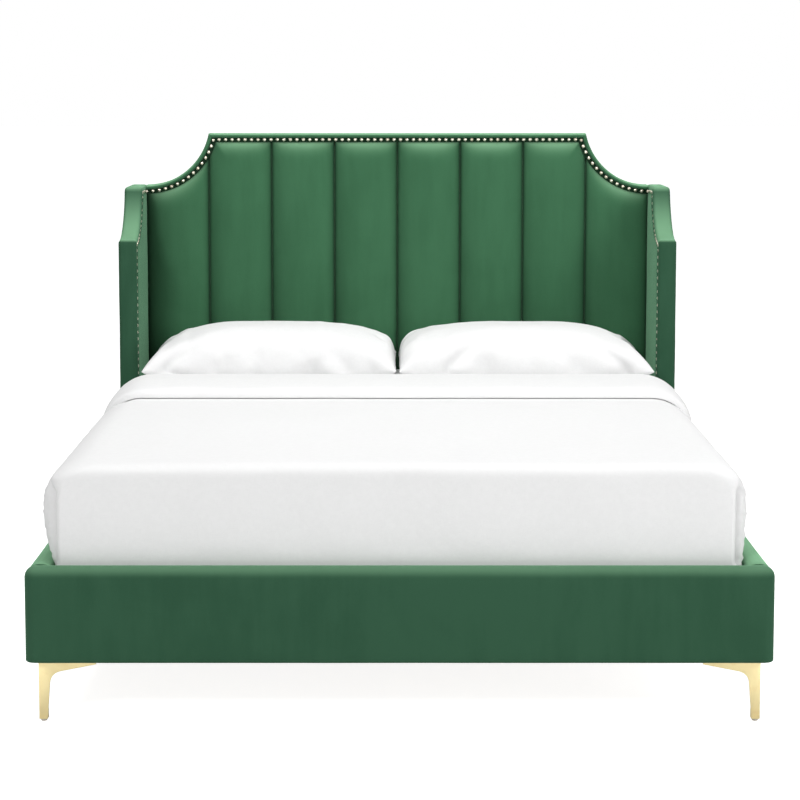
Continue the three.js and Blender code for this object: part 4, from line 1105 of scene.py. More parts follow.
def footboard(sizes):
    """The footboard's padded cover: round ends, a soft top edge, and a pocket for its core."""
    low, high = FOOT_LOW, FOOT_HIGH
    end_radius, edge, base = 0.024, 0.0235, 0.0025

    def ring(inset, radius, step_count=150):
        left, right = low.x + inset, high.x - inset
        near, far = low.y + inset, high.y - inset
        radius = max(min(radius, (far - near) / 2 - 0.0005), 0.002)
        made = []
        for cx, cy, first in ((right - radius, near + radius, -math.pi / 2),
                              (right - radius, far - radius, 0.0),
                              (left + radius, far - radius, math.pi / 2),
                              (left + radius, near + radius, math.pi)):
            made += [(cx + radius * math.cos(first + a), cy + radius * math.sin(first + a))
                     for a in np.linspace(0, math.pi / 2, 9)]
        loop = []
        count = len(made)
        for i in range(count):
            a, b = np.array(made[i]), np.array(made[(i + 1) % count])
            loop.append(a)
            if i in (17, 35):
                loop += [a + (b - a) * k / step_count for k in range(1, step_count)]
        return np.array(loop)

    levels = [(base, low.z), (0.0, low.z + base)]
    levels += [(0.0, z) for z in np.linspace(low.z + 0.012, high.z - edge, 12)]
    for k in range(1, 9):
        angle = math.pi / 2 * k / 8
        levels.append((edge * (1 - math.cos(angle)), high.z - edge + edge * math.sin(angle)))
    rings = []
    for inset, z in levels:
        loop = ring(inset, end_radius if inset < 0.001 else end_radius - inset)
        rise = (z - low.z) / (high.z - low.z)
        rings.append(np.column_stack([loop, np.full(len(loop), z)]))
        front = loop[:, 1] < (low.y + high.y) / 2 - 0.01
        swell = sizes.cover_softness * 1.3 * math.sin(math.pi * min(rise, 1.0))
        ends = np.minimum(1.0, (high.x - np.abs(loop[:, 0])) / 0.05)
        ripple = 0.0005 * wander(np.stack([loop[:, 0] * 0.6, np.full(len(loop), z)], 1), 0.10, 9)
        rings[-1][front, 1] -= (swell + ripple[front]) * ends[front]
    around = len(rings[0])
    rings = rings[::-1]
    pocket = []
    for z in (low.z, FOOT_CORE_HIGH.z + GAP):
        x0, x1 = FOOT_CORE_LOW.x - GAP, FOOT_CORE_HIGH.x + GAP
        y0, y1 = FOOT_CORE_LOW.y - GAP, FOOT_CORE_HIGH.y + GAP
        base_ring = rings[-1][:, :2]
        clamped = np.column_stack([np.clip(base_ring[:, 0], x0, x1), np.clip(base_ring[:, 1], y0, y1)])
        pocket.append(np.column_stack([clamped, np.full(around, z)]))
    stack = np.vstack(rings + pocket)
    faces = grid_faces(len(rings) + 2, around, wrap=True)
    faces.append(tuple(range(around)))
    faces.append(tuple(range((len(rings) + 1) * around, (len(rings) + 2) * around)))
    piece = piece_from("footboard", stack, faces, "cover velvet", 50)
    return settle(piece, "frame", "velvet", "footboard_cover", fill=0.7, nap_and_painted_light=0.38)


class BED_OT_surround(bpy.types.Operator):
    """Builds the two wings, the two side rails and the footboard"""

    bl_idname = "bed.surround"
    bl_label = "Wings, Rails and Footboard"

    def execute(self, context):
        sizes = context.scene.velvet_bed_sizes
        for side, name in ((-1, "left"), (1, "right")):
            wing(side, name, sizes)
            rail(side, name, sizes)
        footboard(sizes)
        return {"FINISHED"}


# ---------------------------------------------------------------- nailheads and stitching
def nails(name, points, facing, sizes):
    """A row of nailheads along a line, all facing one way."""
    piece = grown(name, "Domes along a line", points, path_edges(len(points)), {
        "Spacing": sizes.nail_spacing, "Width": sizes.nail_width, "Height": sizes.nail_height,
        "Facing": facing, "Material": material("nail brass")})
    return settle(piece, "frame", "nailhead_brass")


def stitching(name, lines, body, slot, finish, sizes):
    """Rows of stitches along several lines."""
    points, edges = [], []
    for line in lines:
        edges += [(len(points) + a, len(points) + b) for a, b in path_edges(len(line))]
        points += [tuple(p) for p in line]
    piece = grown(name, "Stitches along a line", points, edges, {
        "Pitch": sizes.stitch_length * 1.35, "Length": sizes.stitch_length,
        "Thread": sizes.thread_width, "Material": material(finish)})
    return settle(piece, body, slot)


class BED_OT_trim(bpy.types.Operator):
    """Adds the nailheads round the headboard and the wings, and the stitching of the seams"""

    bl_idname = "bed.trim"
    bl_label = "Nailheads and Stitching"

    def execute(self, context):
        sizes = context.scene.velvet_bed_sizes
        domes_along_group()
        stitches_along_group()
        line = headboard_line(sizes, sizes.nail_inset)
        path = [(x, NAIL_SEAT - 0.0002, z) for x, z in line]
        nails("headboard_nailheads", path, (math.pi / 2, 0.0, 0.0), sizes)
        for side, name in ((-1, "left"), (1, "right")):
            inset = sizes.nail_inset
            arc = wing_line(sizes, inset)
            run = [(WING_LOW.y + inset, WING_NAILS_START)] + [tuple(p) for p in arc]
            run += [(BORDER_LOW.y - 0.004, WING_HIGH.z - inset)]
            face = side * (HALF_INSIDE + 0.0032)
            points = [(face, y, z) for y, z in dense(run, 0.004, closed=False)]
            nails(f"wing_nailheads_{name}", points, (0.0, math.pi / 2, 0.0), sizes)
        seams = []
        for index in range(1, 8):
            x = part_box(f"channel_pad_{index}")[1].x + GAP
            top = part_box(f"channel_pad_{index}")[1].z
            if index in (1, 7):
                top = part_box("channel_pad_1")[1].z
            seams.append([(x, NAIL_SEAT + 0.0068, z) for z in np.linspace(0.30, top - 0.012, 60)])
        stitching("channel_stitching", seams, "frame", "velvet", "thread", sizes)
        return {"FINISHED"}


# ---------------------------------------------------------------- legs and base
class BED_OT_legs(bpy.types.Operator):
    """Finishes the four gold legs, the two middle legs and all the glides"""

    bl_idname = "bed.legs"
    bl_label = "Legs and Glides"

    def execute(self, context):
        for corner in ("front_left", "front_right", "rear_left", "rear_right"):
            piece = softened(f"leg_{corner}", f"gold_leg_{corner}", "brushed gold", 0.0007)
            settle(piece, "frame", "gold_metal", f"leg_{corner}")
            glide = softened(f"glide_{corner}", f"leg_glide_{corner}", "nylon", 0.0008)
            settle(glide, f"glide_{corner}", "nylon", f"glide_{corner}")
        for index in (1, 2):
            piece = softened(f"middle_leg_{index}", f"support_leg_{index}", "black steel", 0.0008)
            settle(piece, "frame", "black_steel", f"middle_leg_{index}")
            glide = softened(f"middle_glide_{index}", f"support_glide_{index}", "nylon", 0.0012)
            settle(glide, f"middle_glide_{index}", "nylon", f"middle_glide_{index}")
        return {"FINISHED"}


def bolts(name, points, facing, width, height):
    """Bolt heads with their washers on a set of points, all facing one way."""
    piece = grown(name, "Bolts on points", points, [], {
        "Width": width, "Height": height, "Facing": facing, "Material": material("bolt steel")})
    piece.data.set_sharp_from_angle(angle=math.radians(30))
    return settle(piece, "frame", "fastener_steel")


class BED_OT_base(bpy.types.Operator):
    """Finishes the slats, ledges, beam, brackets and cores, and adds their bolts and screws"""

    bl_idname = "bed.base"
    bl_label = "Slatted Base"

    def execute(self, context):
        sizes = context.scene.velvet_bed_sizes
        bolts_on_points_group()
        row_of_copies_group()
        for node in ("slat_ledge_left", "slat_ledge_right", "centre_beam", "head_rail"):
            settle(softened(node, f"wood_{node}", "pine", 0.0015), "frame", "pine", node)
        for node in ("beam_hanger_foot", "beam_hanger_head", "joint_plate_left", "joint_plate_right",
                     "bracket_front_left", "bracket_front_right", "bracket_rear_left",
                     "bracket_rear_right"):
            settle(softened(node, f"steel_{node}", "black steel", 0.0006), "frame", "black_steel", node)
        for node, finish in (("rail_core_left", "pine"), ("rail_core_right", "pine"),
                             ("footboard_core", "pine"), ("wing_core_left", "birch plywood"),
                             ("wing_core_right", "birch plywood"), ("headboard_board", "birch plywood")):
            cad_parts[node].data.materials.clear()
            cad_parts[node].data.materials.append(material(finish))
        self.slats()
        self.fasteners(sizes)
        return {"FINISHED"}

    def slats(self):
        """Eleven slats as one piece, each with round edges."""
        names = [f"slat_{i:02d}" for i in range(1, 12)]
        low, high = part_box(names[0])
        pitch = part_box(names[1])[0].y - low.y
        ease = 0.004
        section = rounded([(low.y, low.z, ease), (high.y, low.z, ease), (high.y, high.z, ease),
                           (low.y, high.z, ease)], 4)
        xs = np.concatenate([[low.x, low.x + 0.0015], np.linspace(low.x + 0.02, high.x - 0.02, 24),
                             [high.x - 0.0015, high.x]])
        centre = section.mean(0)
        rows = []
        for k, x in enumerate(xs):
            tight = 0.985 if k in (0, len(xs) - 1) else 1.0
            yz = centre + (section - centre) * tight
            rows.append(np.column_stack([np.full(len(yz), x), yz]))
        piece = loft("slats", rows, "slat wood", sharp=50)
        modifier = piece.modifiers.new("Row", "NODES")
        modifier.node_group = bpy.data.node_groups["Row of copies"]
        set_inputs(modifier, {"Count": len(names), "Step": (0.0, pitch, 0.0),
                              "Material": material("slat wood")})
        baked(piece)
        settle(piece, "frame", "slat_wood", *names)

    def fasteners(self, sizes):
        """Bolts of the brackets and plates, and screws of the ledges."""
        bolt, screw = sizes.screw_width, sizes.screw_width * 0.62
        across, along = [], []
        for y_side, node in ((-1, "front"), (1, "rear")):
            for x_side, side in ((-1, "left"), (1, "right")):
                low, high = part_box(f"bracket_{node}_{side}")
                plate = 0.004
                outer_x = high.x if x_side > 0 else low.x
                outer_y = high.y if y_side > 0 else low.y
                for z in (low.z + 0.018, high.z - 0.018):
                    across.append((x_side, (outer_x - x_side * plate, outer_y - y_side * 0.040, z)))
                    along.append((y_side, (outer_x - x_side * 0.040, outer_y - y_side * plate, z)))
        for x_side, side in ((-1, "left"), (1, "right")):
            low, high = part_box(f"joint_plate_{side}")
            face = low.x if x_side > 0 else high.x
            for y in (low.y + 0.02, low.y + 0.055, high.y - 0.055, high.y - 0.02):
                for z in (low.z + 0.018, high.z - 0.018):
                    across.append((x_side, (face, y, z)))
        for x_side, label in ((-1, "left"), (1, "right")):
            points = [p for s, p in across if s == x_side]
            bolts(f"frame_bolts_{label}", points, (0.0, -x_side * math.pi / 2, 0.0), bolt, 0.005)
        for y_side, label in ((-1, "foot"), (1, "head")):
            points = [p for s, p in along if s == y_side]
            bolts(f"frame_bolts_{label}", points, (y_side * math.pi / 2, 0.0, 0.0), bolt, 0.005)
        for x_side, side in ((-1, "left"), (1, "right")):
            low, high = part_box(f"slat_ledge_{side}")
            face = low.x if x_side > 0 else high.x
            points = [(face, y, (low.z + high.z) / 2) for y in np.linspace(low.y + 0.06, high.y - 0.06, 14)]
            bolts(f"ledge_screws_{side}", points, (0.0, -x_side * math.pi / 2, 0.0), screw, 0.002)


# ---------------------------------------------------------------- mattress and sheet
def box_ring(half_x, low_y, high_y, radius):
    """The corners of a rectangle, each turned on one radius, as (x, y)."""
    radius = max(radius, 0.001)
    made = []
    for cx, cy, first in ((half_x - radius, low_y + radius, -math.pi / 2),
                          (half_x - radius, high_y - radius, 0.0),
                          (-half_x + radius, high_y - radius, math.pi / 2),
                          (-half_x + radius, low_y + radius, math.pi)):
        made += [(cx + radius * math.cos(first + a), cy + radius * math.sin(first + a))
                 for a in np.linspace(0, math.pi / 2, 9)]
    return np.array(made)


def even_ring(corners, sides):
    """A ring whose straight sides have fixed numbers of points, so that rings match."""
    made = []
    quarter = len(corners) // 4
    for q in range(4):
        arc = corners[q * quarter:(q + 1) * quarter]
        made += list(arc)
        a, b = arc[-1], corners[((q + 1) * quarter) % len(corners)]
        made += [a + (b - a) * k / sides[q] for k in range(1, sides[q])]
    return np.array(made)


def soft_box(half_x, low_y, high_y, levels, radius, step, crown):
    """A soft block from rings (inset, z) from its bottom to its top, both ends filled."""
    rings = []
    for inset, z in levels:
        corners = box_ring(half_x - inset, low_y + inset, high_y - inset, max(radius - inset, 0.012))
        loop = even_ring(corners, (80, 60, 80, 60))
        rings.append(np.column_stack([loop, np.full(len(loop), z)]))
    around = len(rings[0])
    faces = grid_faces(len(rings), around, wrap=True)
    points = np.vstack(rings)
    for which, z in ((0, levels[0][1]), (len(rings) - 1, levels[-1][1])):
        loop = rings[which][:, :2]
        flat, cap = filled(loop, step)
        inner = flat[around:]
        heights = z + crown(inner, inside(loop, inner)[1]) * (1 if which else -1)
        start = len(points)
        points = np.vstack([points, np.column_stack([inner, heights])])
        faces += [tuple(which * around + i if i < around else start + i - around for i in f) for f in cap]
    return points, faces


class BED_OT_mattress(bpy.types.Operator):
    """Builds the mattress with its piping, and the fitted sheet stretched over it"""

    bl_idname = "bed.mattress"
    bl_label = "Mattress and Sheet"

    def execute(self, context):
        low, high = MATTRESS_LOW, MATTRESS_HIGH
        half_x, front, back = high.x - 0.0012, low.y + 0.0012, high.y - 0.0030
        edge = MATTRESS_EDGE
        levels = []
        for k in range(7):
            angle = math.pi / 2 * (1 - k / 6)
            levels.append((edge * (1 - math.cos(angle)), low.z + edge - edge * math.sin(angle)))
        for k, z in enumerate(np.linspace(low.z + edge + 0.012, high.z - edge - 0.012, 9)):
            levels.append((0.0012 if k % 4 == 2 else 0.0, z))
        levels += [(inset, low.z + high.z - z - 0.0006) for inset, z in reversed(levels[:7])]

        def quilted(points, nearest):
            across = np.sin(points[:, 0] * math.pi / 0.12 + 0.5) * np.sin(points[:, 1] * math.pi / 0.12)
            return -0.0012 + 0.0010 * np.abs(across) * smooth(nearest, 0.0, 0.05)

        points, faces = soft_box(half_x, front, back, levels, 0.055, 0.028, quilted)
        piece = piece_from("mattress_body", points, faces, "ticking", 50)
        settle(piece, "mattress", "ticking", "mattress", fill=0.9)
        for label, z in (("top", high.z - edge * 0.8), ("bottom", low.z + edge * 0.8)):
            corners = box_ring(half_x - 0.0028, front + 0.0028, back - 0.0028, 0.053)
            loop = even_ring(corners, (60, 80, 60, 80))
            sections = []
            ahead = np.roll(loop, -1, 0) - np.roll(loop, 1, 0)
            ahead /= np.linalg.norm(ahead, axis=1)[:, None]
            out = np.stack([ahead[:, 1], -ahead[:, 0]], 1)
            for k in range(8):
                angle = 2 * math.pi * k / 8
                ring = loop + out * PIPING * math.cos(angle)
                sections.append(np.column_stack([ring, np.full(len(ring), z + PIPING * math.sin(angle))]))
            grid = np.stack(sections, 1)
            count, around = grid.shape[:2]
            faces = grid_faces(count, around, wrap=True)
            faces += [((count - 1) * around + a, (count - 1) * around + (a + 1) % around,
                       (a + 1) % around, a) for a in range(around)]
            piping = piece_from(f"mattress_piping_{label}", grid.reshape(-1, 3), faces, "ticking", 60)
            settle(piping, "mattress", "ticking")
        self.sheet(half_x, front, back)
        return {"FINISHED"}

    def sheet(self, half_x, front, back):
        """A fitted sheet: its outer skin, its hem, and its inner skin, closed."""
        high = MATTRESS_HIGH
        thick = 0.0007
        drop = MATTRESS_LOW.z + 0.035
        edge = MATTRESS_EDGE
        outer, inner = [], []
        grow = 0.0014
        levels = [(0.0, z) for z in np.linspace(drop, high.z - edge, 14)]
        levels += [(edge * (1 - math.cos(a)), high.z - edge + edge * math.sin(a) + 0.0004)
                   for a in np.linspace(0, math.pi / 2, 8)[1:]]
        for inset, z in levels:
            for rings, extra in ((outer, grow), (inner, grow - thick)):
                corners = box_ring(half_x + extra - inset, front - extra + inset, back + extra - inset,
                                   max(0.056 - inset, 0.012))
                loop = even_ring(corners, (80, 60, 80, 60))
                lift = (extra - (grow - thick)) if inset > 0 else 0.0
                height = z + lift * (inset / edge)
                rings.append(np.column_stack([loop, np.full(len(loop), height)]))
        around = len(outer[0])
        stack = [outer[-1 - k] for k in range(len(outer))] + inner
        points = np.vstack(stack)
        faces = grid_faces(len(stack), around, wrap=True)
        for which, ring in ((0, outer[-1]), (len(stack) - 1, inner[-1])):
            flat, cap = filled(ring[:, :2], 0.03)
            extra_points = flat[around:]
            start = len(points)
            heights = np.full(len(extra_points), ring[0, 2])
            points = np.vstack([points, np.column_stack([extra_points, heights])])
            faces += [tuple(which * around + i if i < around else start + i - around for i in f)
                      for f in cap]
        piece = piece_from("fitted_sheet", points, faces, "sheet cotton", 60)
        settle(piece, "mattress", "pillow_cotton")


# ---------------------------------------------------------------- duvet
def duvet_wall(z, bulge):
    """How far a side of the duvet stands out beyond its tuck, at height z."""
    start, end = RAIL_HIGH.z - 0.010, DUVET_HIGH.z + 0.014
    t = np.clip((z - start) / (end - start), 0, 1)
    return bulge * np.sin(math.pi * t ** 0.85) ** 0.8


class BED_OT_duvet(bpy.types.Operator):
    """Builds the duvet, tucked in at the sides and the foot, with its end turned back"""

    bl_idname = "bed.duvet"
    bl_label = "Duvet"

    top = DUVET_HIGH.z - 0.036
    tuck_x = HALF_INSIDE - 0.002
    tuck_y = FOOT_HIGH.y + 0.002
    bottom = DUVET_LOW.z
    head = DUVET_HIGH.y
    bulge = {-1: 0.030, 1: 0.008}
    shoulder = {-1: 0.085, 1: 0.095}
    shoulder_rise = 0.078
    panel = {-1: 0.769, 1: 0.753}
    pressed = {-1: 0.018, 1: 0.006}
    free_edge = 0.0215

    def execute(self, context):
        self.body()
        self.fold()
        return {"FINISHED"}

    def half_width(self, side, z, rise):
        """Distance from the middle to one side, before the turned-back end presses it in."""
        inset = self.shoulder[side] * (1 - math.cos(rise * math.pi / 2))
        return self.tuck_x + float(duvet_wall(z, self.bulge[side])) - inset

    def press(self, side, z):
        """How far the turned-back end presses a side in."""
        return self.pressed[side] * float(smooth(z, 0.470, 0.500))

    def ring(self, z, rise):
        """One level outline of the duvet: rise is 0 on its walls and goes to 1 where they meet its top."""
        turned = max(0.0, (rise - 0.46) / 0.54)
        front = self.tuck_y - float(duvet_wall(z, 0.0075)) + 0.040 * (1 - math.cos(turned * math.pi / 2))
        tucked = float(smooth(z, RAIL_HIGH.z - 0.034, RAIL_HIGH.z - 0.008))
        crease = float(smooth(z, self.bottom + 0.01, self.bottom + 0.05) * (1 - smooth(z, 0.515, 0.552)))
        corner = 0.010 + 0.030 * float(smooth(z, 0.510, 0.560)) + 0.022 * rise
        back = self.head - 0.012 * (1 - math.cos(rise * math.pi / 2))
        sides = {}
        for s in (-1, 1):
            half_side = self.half_width(s, z, rise)
            gathered = crease * tucked
            half_panel = self.panel[s] * gathered + half_side * (1 - gathered)
            half_panel = min(half_panel, half_side)
            corner_y = front + corner
            ys = np.concatenate([
                np.linspace(corner_y, corner_y + 0.030, 17)[1:],
                np.linspace(corner_y + 0.030, corner_y + 0.20, 34)[1:],
                np.linspace(corner_y + 0.20, back, 50)[1:]])
            roll = 1 - np.exp(-np.maximum(ys - corner_y - 0.010, 0) / 0.016)
            xs = half_panel + (half_side - half_panel) * roll
            xs = xs - 0.028 * crease * np.exp(-((ys - corner_y - 0.009) / 0.0052) ** 2)
            puckers = wander(np.column_stack([ys * 1.4 - z * 1.3, ys * 0.4 + z * 1.3]), 0.038, 70 + s)
            xs = xs + 0.0062 * crease * puckers * np.exp(-(ys - corner_y) / 0.06) * (ys > corner_y + 0.004)
            xs = xs - self.press(s, z) * smooth(ys, self.free_edge - 0.05, self.free_edge + 0.01)
            sides[s] = (half_panel, corner_y, xs, ys)
        loop = []
        half, corner_y, xs, ys = sides[-1]
        loop += [(-x, y) for x, y in zip(xs[::-1], ys[::-1])]
        loop += [(-(half - corner) - corner * math.cos(a), front + corner - corner * math.sin(a))
                 for a in np.linspace(0, math.pi / 2, 9)]
        left_end = -(half - corner)
        half, corner_y, xs, ys = sides[1]
        right_end = half - corner
        loop += [(x, front) for x in np.linspace(left_end, right_end, 84)[1:-1]]
        loop += [(half - corner + corner * math.sin(a), front + corner - corner * math.cos(a))
                 for a in np.linspace(0, math.pi / 2, 9)]
        loop += [(x, y) for x, y in zip(xs, ys)]
        first, last = loop[0], loop[-1]
        loop += [(last[0] + (first[0] - last[0]) * k / 60, back) for k in range(1, 60)]
        return np.array(loop)

    def body(self):
        levels = [(z, 0.0) for z in np.concatenate([
            [self.bottom, self.bottom + 0.004], np.linspace(self.bottom + 0.012, RAIL_HIGH.z, 5),
            np.linspace(RAIL_HIGH.z + 0.008, self.top - self.shoulder_rise, 20)])]
        for k in range(1, 13):
            rise = k / 12
            levels.append((self.top - self.shoulder_rise + self.shoulder_rise
                           * math.sin(rise * math.pi / 2), rise))
        rings = []
        for i, (z, rise) in enumerate(levels):
            loop = self.ring(z, rise)
            rings.append(np.column_stack([loop, np.full(len(loop), z)]))
        around = len(rings[0])
        points = np.vstack(rings)
        faces = grid_faces(len(rings), around, wrap=True)
        faces.append(tuple(range(around)))
        loop = rings[-1][:, :2]
        flat, cap = filled(loop, 0.018)
        inner = flat[around:]
        start = len(points)
        points = np.vstack([points, np.column_stack([inner, np.full(len(inner), self.top)])])
        which = len(rings) - 1
        faces += [tuple(which * around + i if i < around else start + i - around for i in f) for f in cap]
        points = self.crumple(points)
        piece = piece_from("duvet_body", points, faces, "duvet cotton", 70)
        self.hollow(piece)
        settle(piece, "duvet", "duvet_cotton", "duvet", fill=0.55)

    def crumple(self, points):
        """Gives the top a low crown with soft waves, and the walls shallow folds."""
        x, y, z = points.T
        on_top = smooth(z, self.top - 0.05, self.top)
        crown = 0.004 * (1 - (np.abs(x) / 0.8) ** 2) * smooth(y, -1.05, -0.7)
        slow = wander(points[:, :2], 0.55, 81)
        fine = wander(points[:, :2] * (1.0, 0.35), 0.16, 82)
        head = smooth(y, self.free_edge - 0.09, self.free_edge - 0.005)
        lift = on_top * ((crown + 0.0022 * slow + 0.0007 * fine) * (1 - head) - 0.0006 * head)
        made = points.copy()
        made[:, 2] += lift
        wall = smooth(z, RAIL_HIGH.z + 0.01, RAIL_HIGH.z + 0.05) * (1 - smooth(z, self.top - 0.05, self.top))
        at_front = 1 - smooth(y, self.tuck_y + 0.004, self.tuck_y + 0.02)
        folds = 0.0022 * wander(np.stack([x * 1.2, z * 0.4], 1), 0.35, 83)
        made[:, 1] += at_front * wall * folds
        at_side = smooth(np.abs(x), 0.765, 0.775)
        slant = wander(np.stack([y * 1.6 + z, z * 0.5 - y], 1), 0.12, 84) * 0.0022
        made[:, 0] += np.sign(x) * at_side * wall * slant
        return made

    def hollow(self, piece):
        """Cuts out the room of the mattress and its sheet."""
        side, foot = MATTRESS_HIGH.x + 0.002, MATTRESS_LOW.y - 0.002
        roof = MATTRESS_HIGH.z + 0.0022
        ease = 0.016
        rows = []
        bend = 0.052
        for a in np.linspace(0, math.pi / 2, 9):
            y, narrow = foot + bend * (1 - math.sin(a)), bend * (1 - math.cos(a))
            rows.insert(0, (y, narrow, ease * max(0.0, 1 - (y - foot) / ease)))
        rows.append((self.head + 0.1, 0.0, 0.0))
        rows = [[(x, y, min(z, roof - down)) for x, z in (
            (-side + narrow, self.bottom - 0.05), (-side + narrow, roof - ease),
            (-side + narrow + ease, roof), (side - narrow - ease, roof),
            (side - narrow, roof - ease), (side - narrow, self.bottom - 0.05))]
            for y, narrow, down in sorted(rows)]
        room = loft("duvet_room", np.array(rows), "duvet cotton")
        cut = piece.modifiers.new("Room", "BOOLEAN")
        cut.operation, cut.object, cut.solver = "DIFFERENCE", room, "EXACT"
        baked(piece)
        mesh = room.data
        bpy.data.objects.remove(room)
        bpy.data.meshes.remove(mesh)
        piece.data.set_sharp_from_angle(angle=math.radians(70))

    def fold_path(self):
        """The line over which the end is turned back: up one side, over the top and down the other."""
        lowest, clear = 0.503, 0.0012
        halves = []
        for side in (-1, 1):
            half = []
            for z in np.linspace(lowest, self.top - self.shoulder_rise, 8)[:-1]:
                half.append((self.half_width(side, z, 0.0) - self.press(side, z), z))
            for k in range(31):
                rise = k / 30
                z = self.top - self.shoulder_rise + self.shoulder_rise * math.sin(rise * math.pi / 2)
                half.append((self.half_width(side, z, rise) - self.press(side, z), z))
            halves.append(half)
        left = [(-x, z) for x, z in halves[0]]
        right = halves[1][::-1]
        across = [(x, self.top) for x in np.linspace(left[-1][0], right[0][0], 110)[1:-1]]
        path = np.array(left + across + right)
        along = np.gradient(path, axis=0)
        along /= np.linalg.norm(along, axis=1)[:, None]
        out = np.stack([-along[:, 1], along[:, 0]], 1)
        return path + out * clear, out

    def fold(self):
        """The end of the duvet turned back over its top, hanging a little way down both sides."""
        path, out = self.fold_path()
        stations = len(path)
        travelled = np.concatenate([[0], np.cumsum(np.linalg.norm(np.diff(path, axis=0), axis=1))])
        sections = []
        for i in range(stations):
            from_end = min(travelled[i], travelled[-1] - travelled[i])
            tip = float(smooth(from_end, 0.0, 0.16))
            thick = (0.021 + 0.0125 * tip) * (0.30 + 0.70 * math.sqrt(min(1.0, from_end / 0.016)))
            sway = float(wander([[path[i, 0], path[i, 1]]], 0.5, 91)[0])
            y0 = self.free_edge + 0.004 * sway + 0.012 * (1 - tip)
            y1 = self.head - 0.001 - 0.035 * (1 - tip) ** 2
            lip, back_r = 0.50 * thick, 0.5 * thick
            section = []
            for a in np.linspace(-math.pi / 2, -3 * math.pi / 2, 10):
                below = math.sin(a) < 0
                section.append((y0 + (0.3 if below else 1.0) * lip * (1 + math.cos(a)),
                                lip * (0.08 + (0.08 if below else 1.27) * math.sin(a))))
            for t in np.linspace(0, 1, 26)[1:-1]:
                y = y0 + lip + (y1 - back_r - y0 - lip) * t
                hump = 1.35 * lip + (thick - 1.35 * lip) * float(smooth(t, -0.3, 0.6))
                section.append((y, hump + 0.0013 * float(wander([[path[i, 0], y]], 0.24, 92)[0])))
            for a in np.linspace(math.pi / 2, -math.pi / 2, 12):
                section.append((y1 - back_r + back_r * math.cos(a), back_r + back_r * math.sin(a)))
            for t in np.linspace(1, 0, 14)[1:-1]:
                section.append((y0 + lip + (y1 - back_r - y0 - lip) * t, 0.0))
            section = np.array(section)
            flat = path[i] + section[:, 1][:, None] * out[i]
            sections.append(np.column_stack([flat[:, 0], section[:, 0], flat[:, 1]]))
        piece = loft("duvet_fold", sections, "duvet cotton", sharp=70)
        settle(piece, "duvet", "duvet_cotton", fill=0.5)


# ---------------------------------------------------------------- pillows
def pillow_shell(width, depth, rows, rim):
    """Two flat layers of a pillowcase, joined round the edge, centred on the origin."""
    columns = int(rows * width / depth)
    xs = np.linspace(-width / 2, width / 2, columns + 1)
    ys = np.linspace(-depth / 2, depth / 2, rows + 1)
    layers = []
    for side in (-1, 1):
        x, y = np.meshgrid(xs, ys)
        u, v = np.abs(2 * x / width), np.abs(2 * y / depth)
        z = side * (rim / 2 + 0.030 * np.sqrt(np.clip((1 - u ** 4) * (1 - v ** 4), 0, 1)))
        layers.append(np.stack([x, y, z], 2).reshape(-1, 3))
    per = (columns + 1) * (rows + 1)
    faces = grid_faces(rows + 1, columns + 1) + grid_faces(rows + 1, columns + 1, start=per)
    c = columns + 1
    rim_line = (list(range(c)) + [r * c + c - 1 for r in range(1, rows + 1)]
                + [rows * c + k for k in range(c - 2, -1, -1)] + [r * c for r in range(rows - 1, 0, -1)])
    faces += [(rim_line[i], rim_line[(i + 1) % len(rim_line)], per + rim_line[(i + 1) % len(rim_line)],
               per + rim_line[i]) for i in range(len(rim_line))]
    return np.vstack(layers), faces


def inflate(piece):
    """Blows a sewn shell up with a short cloth run and keeps the result as its mesh."""
    frames, pressure, stiffness = 20, 4.0, 12.0
    cloth = piece.modifiers.new("Filling", "CLOTH")
    settings = cloth.settings
    settings.quality = 6
    settings.mass = 0.25
    settings.use_pressure = True
    settings.uniform_pressure_force = pressure
    settings.tension_stiffness = settings.compression_stiffness = stiffness
    settings.shear_stiffness = 6.0
    settings.bending_stiffness = 0.4
    settings.air_damping = 4.0
    settings.effector_weights.gravity = 0.0
    cloth.collision_settings.use_collision = False
    cloth.point_cache.frame_start, cloth.point_cache.frame_end = 1, frames
    scene = bpy.context.scene
    for number in range(1, frames + 1):
        scene.frame_set(number)
    baked(piece)
    scene.frame_set(1)


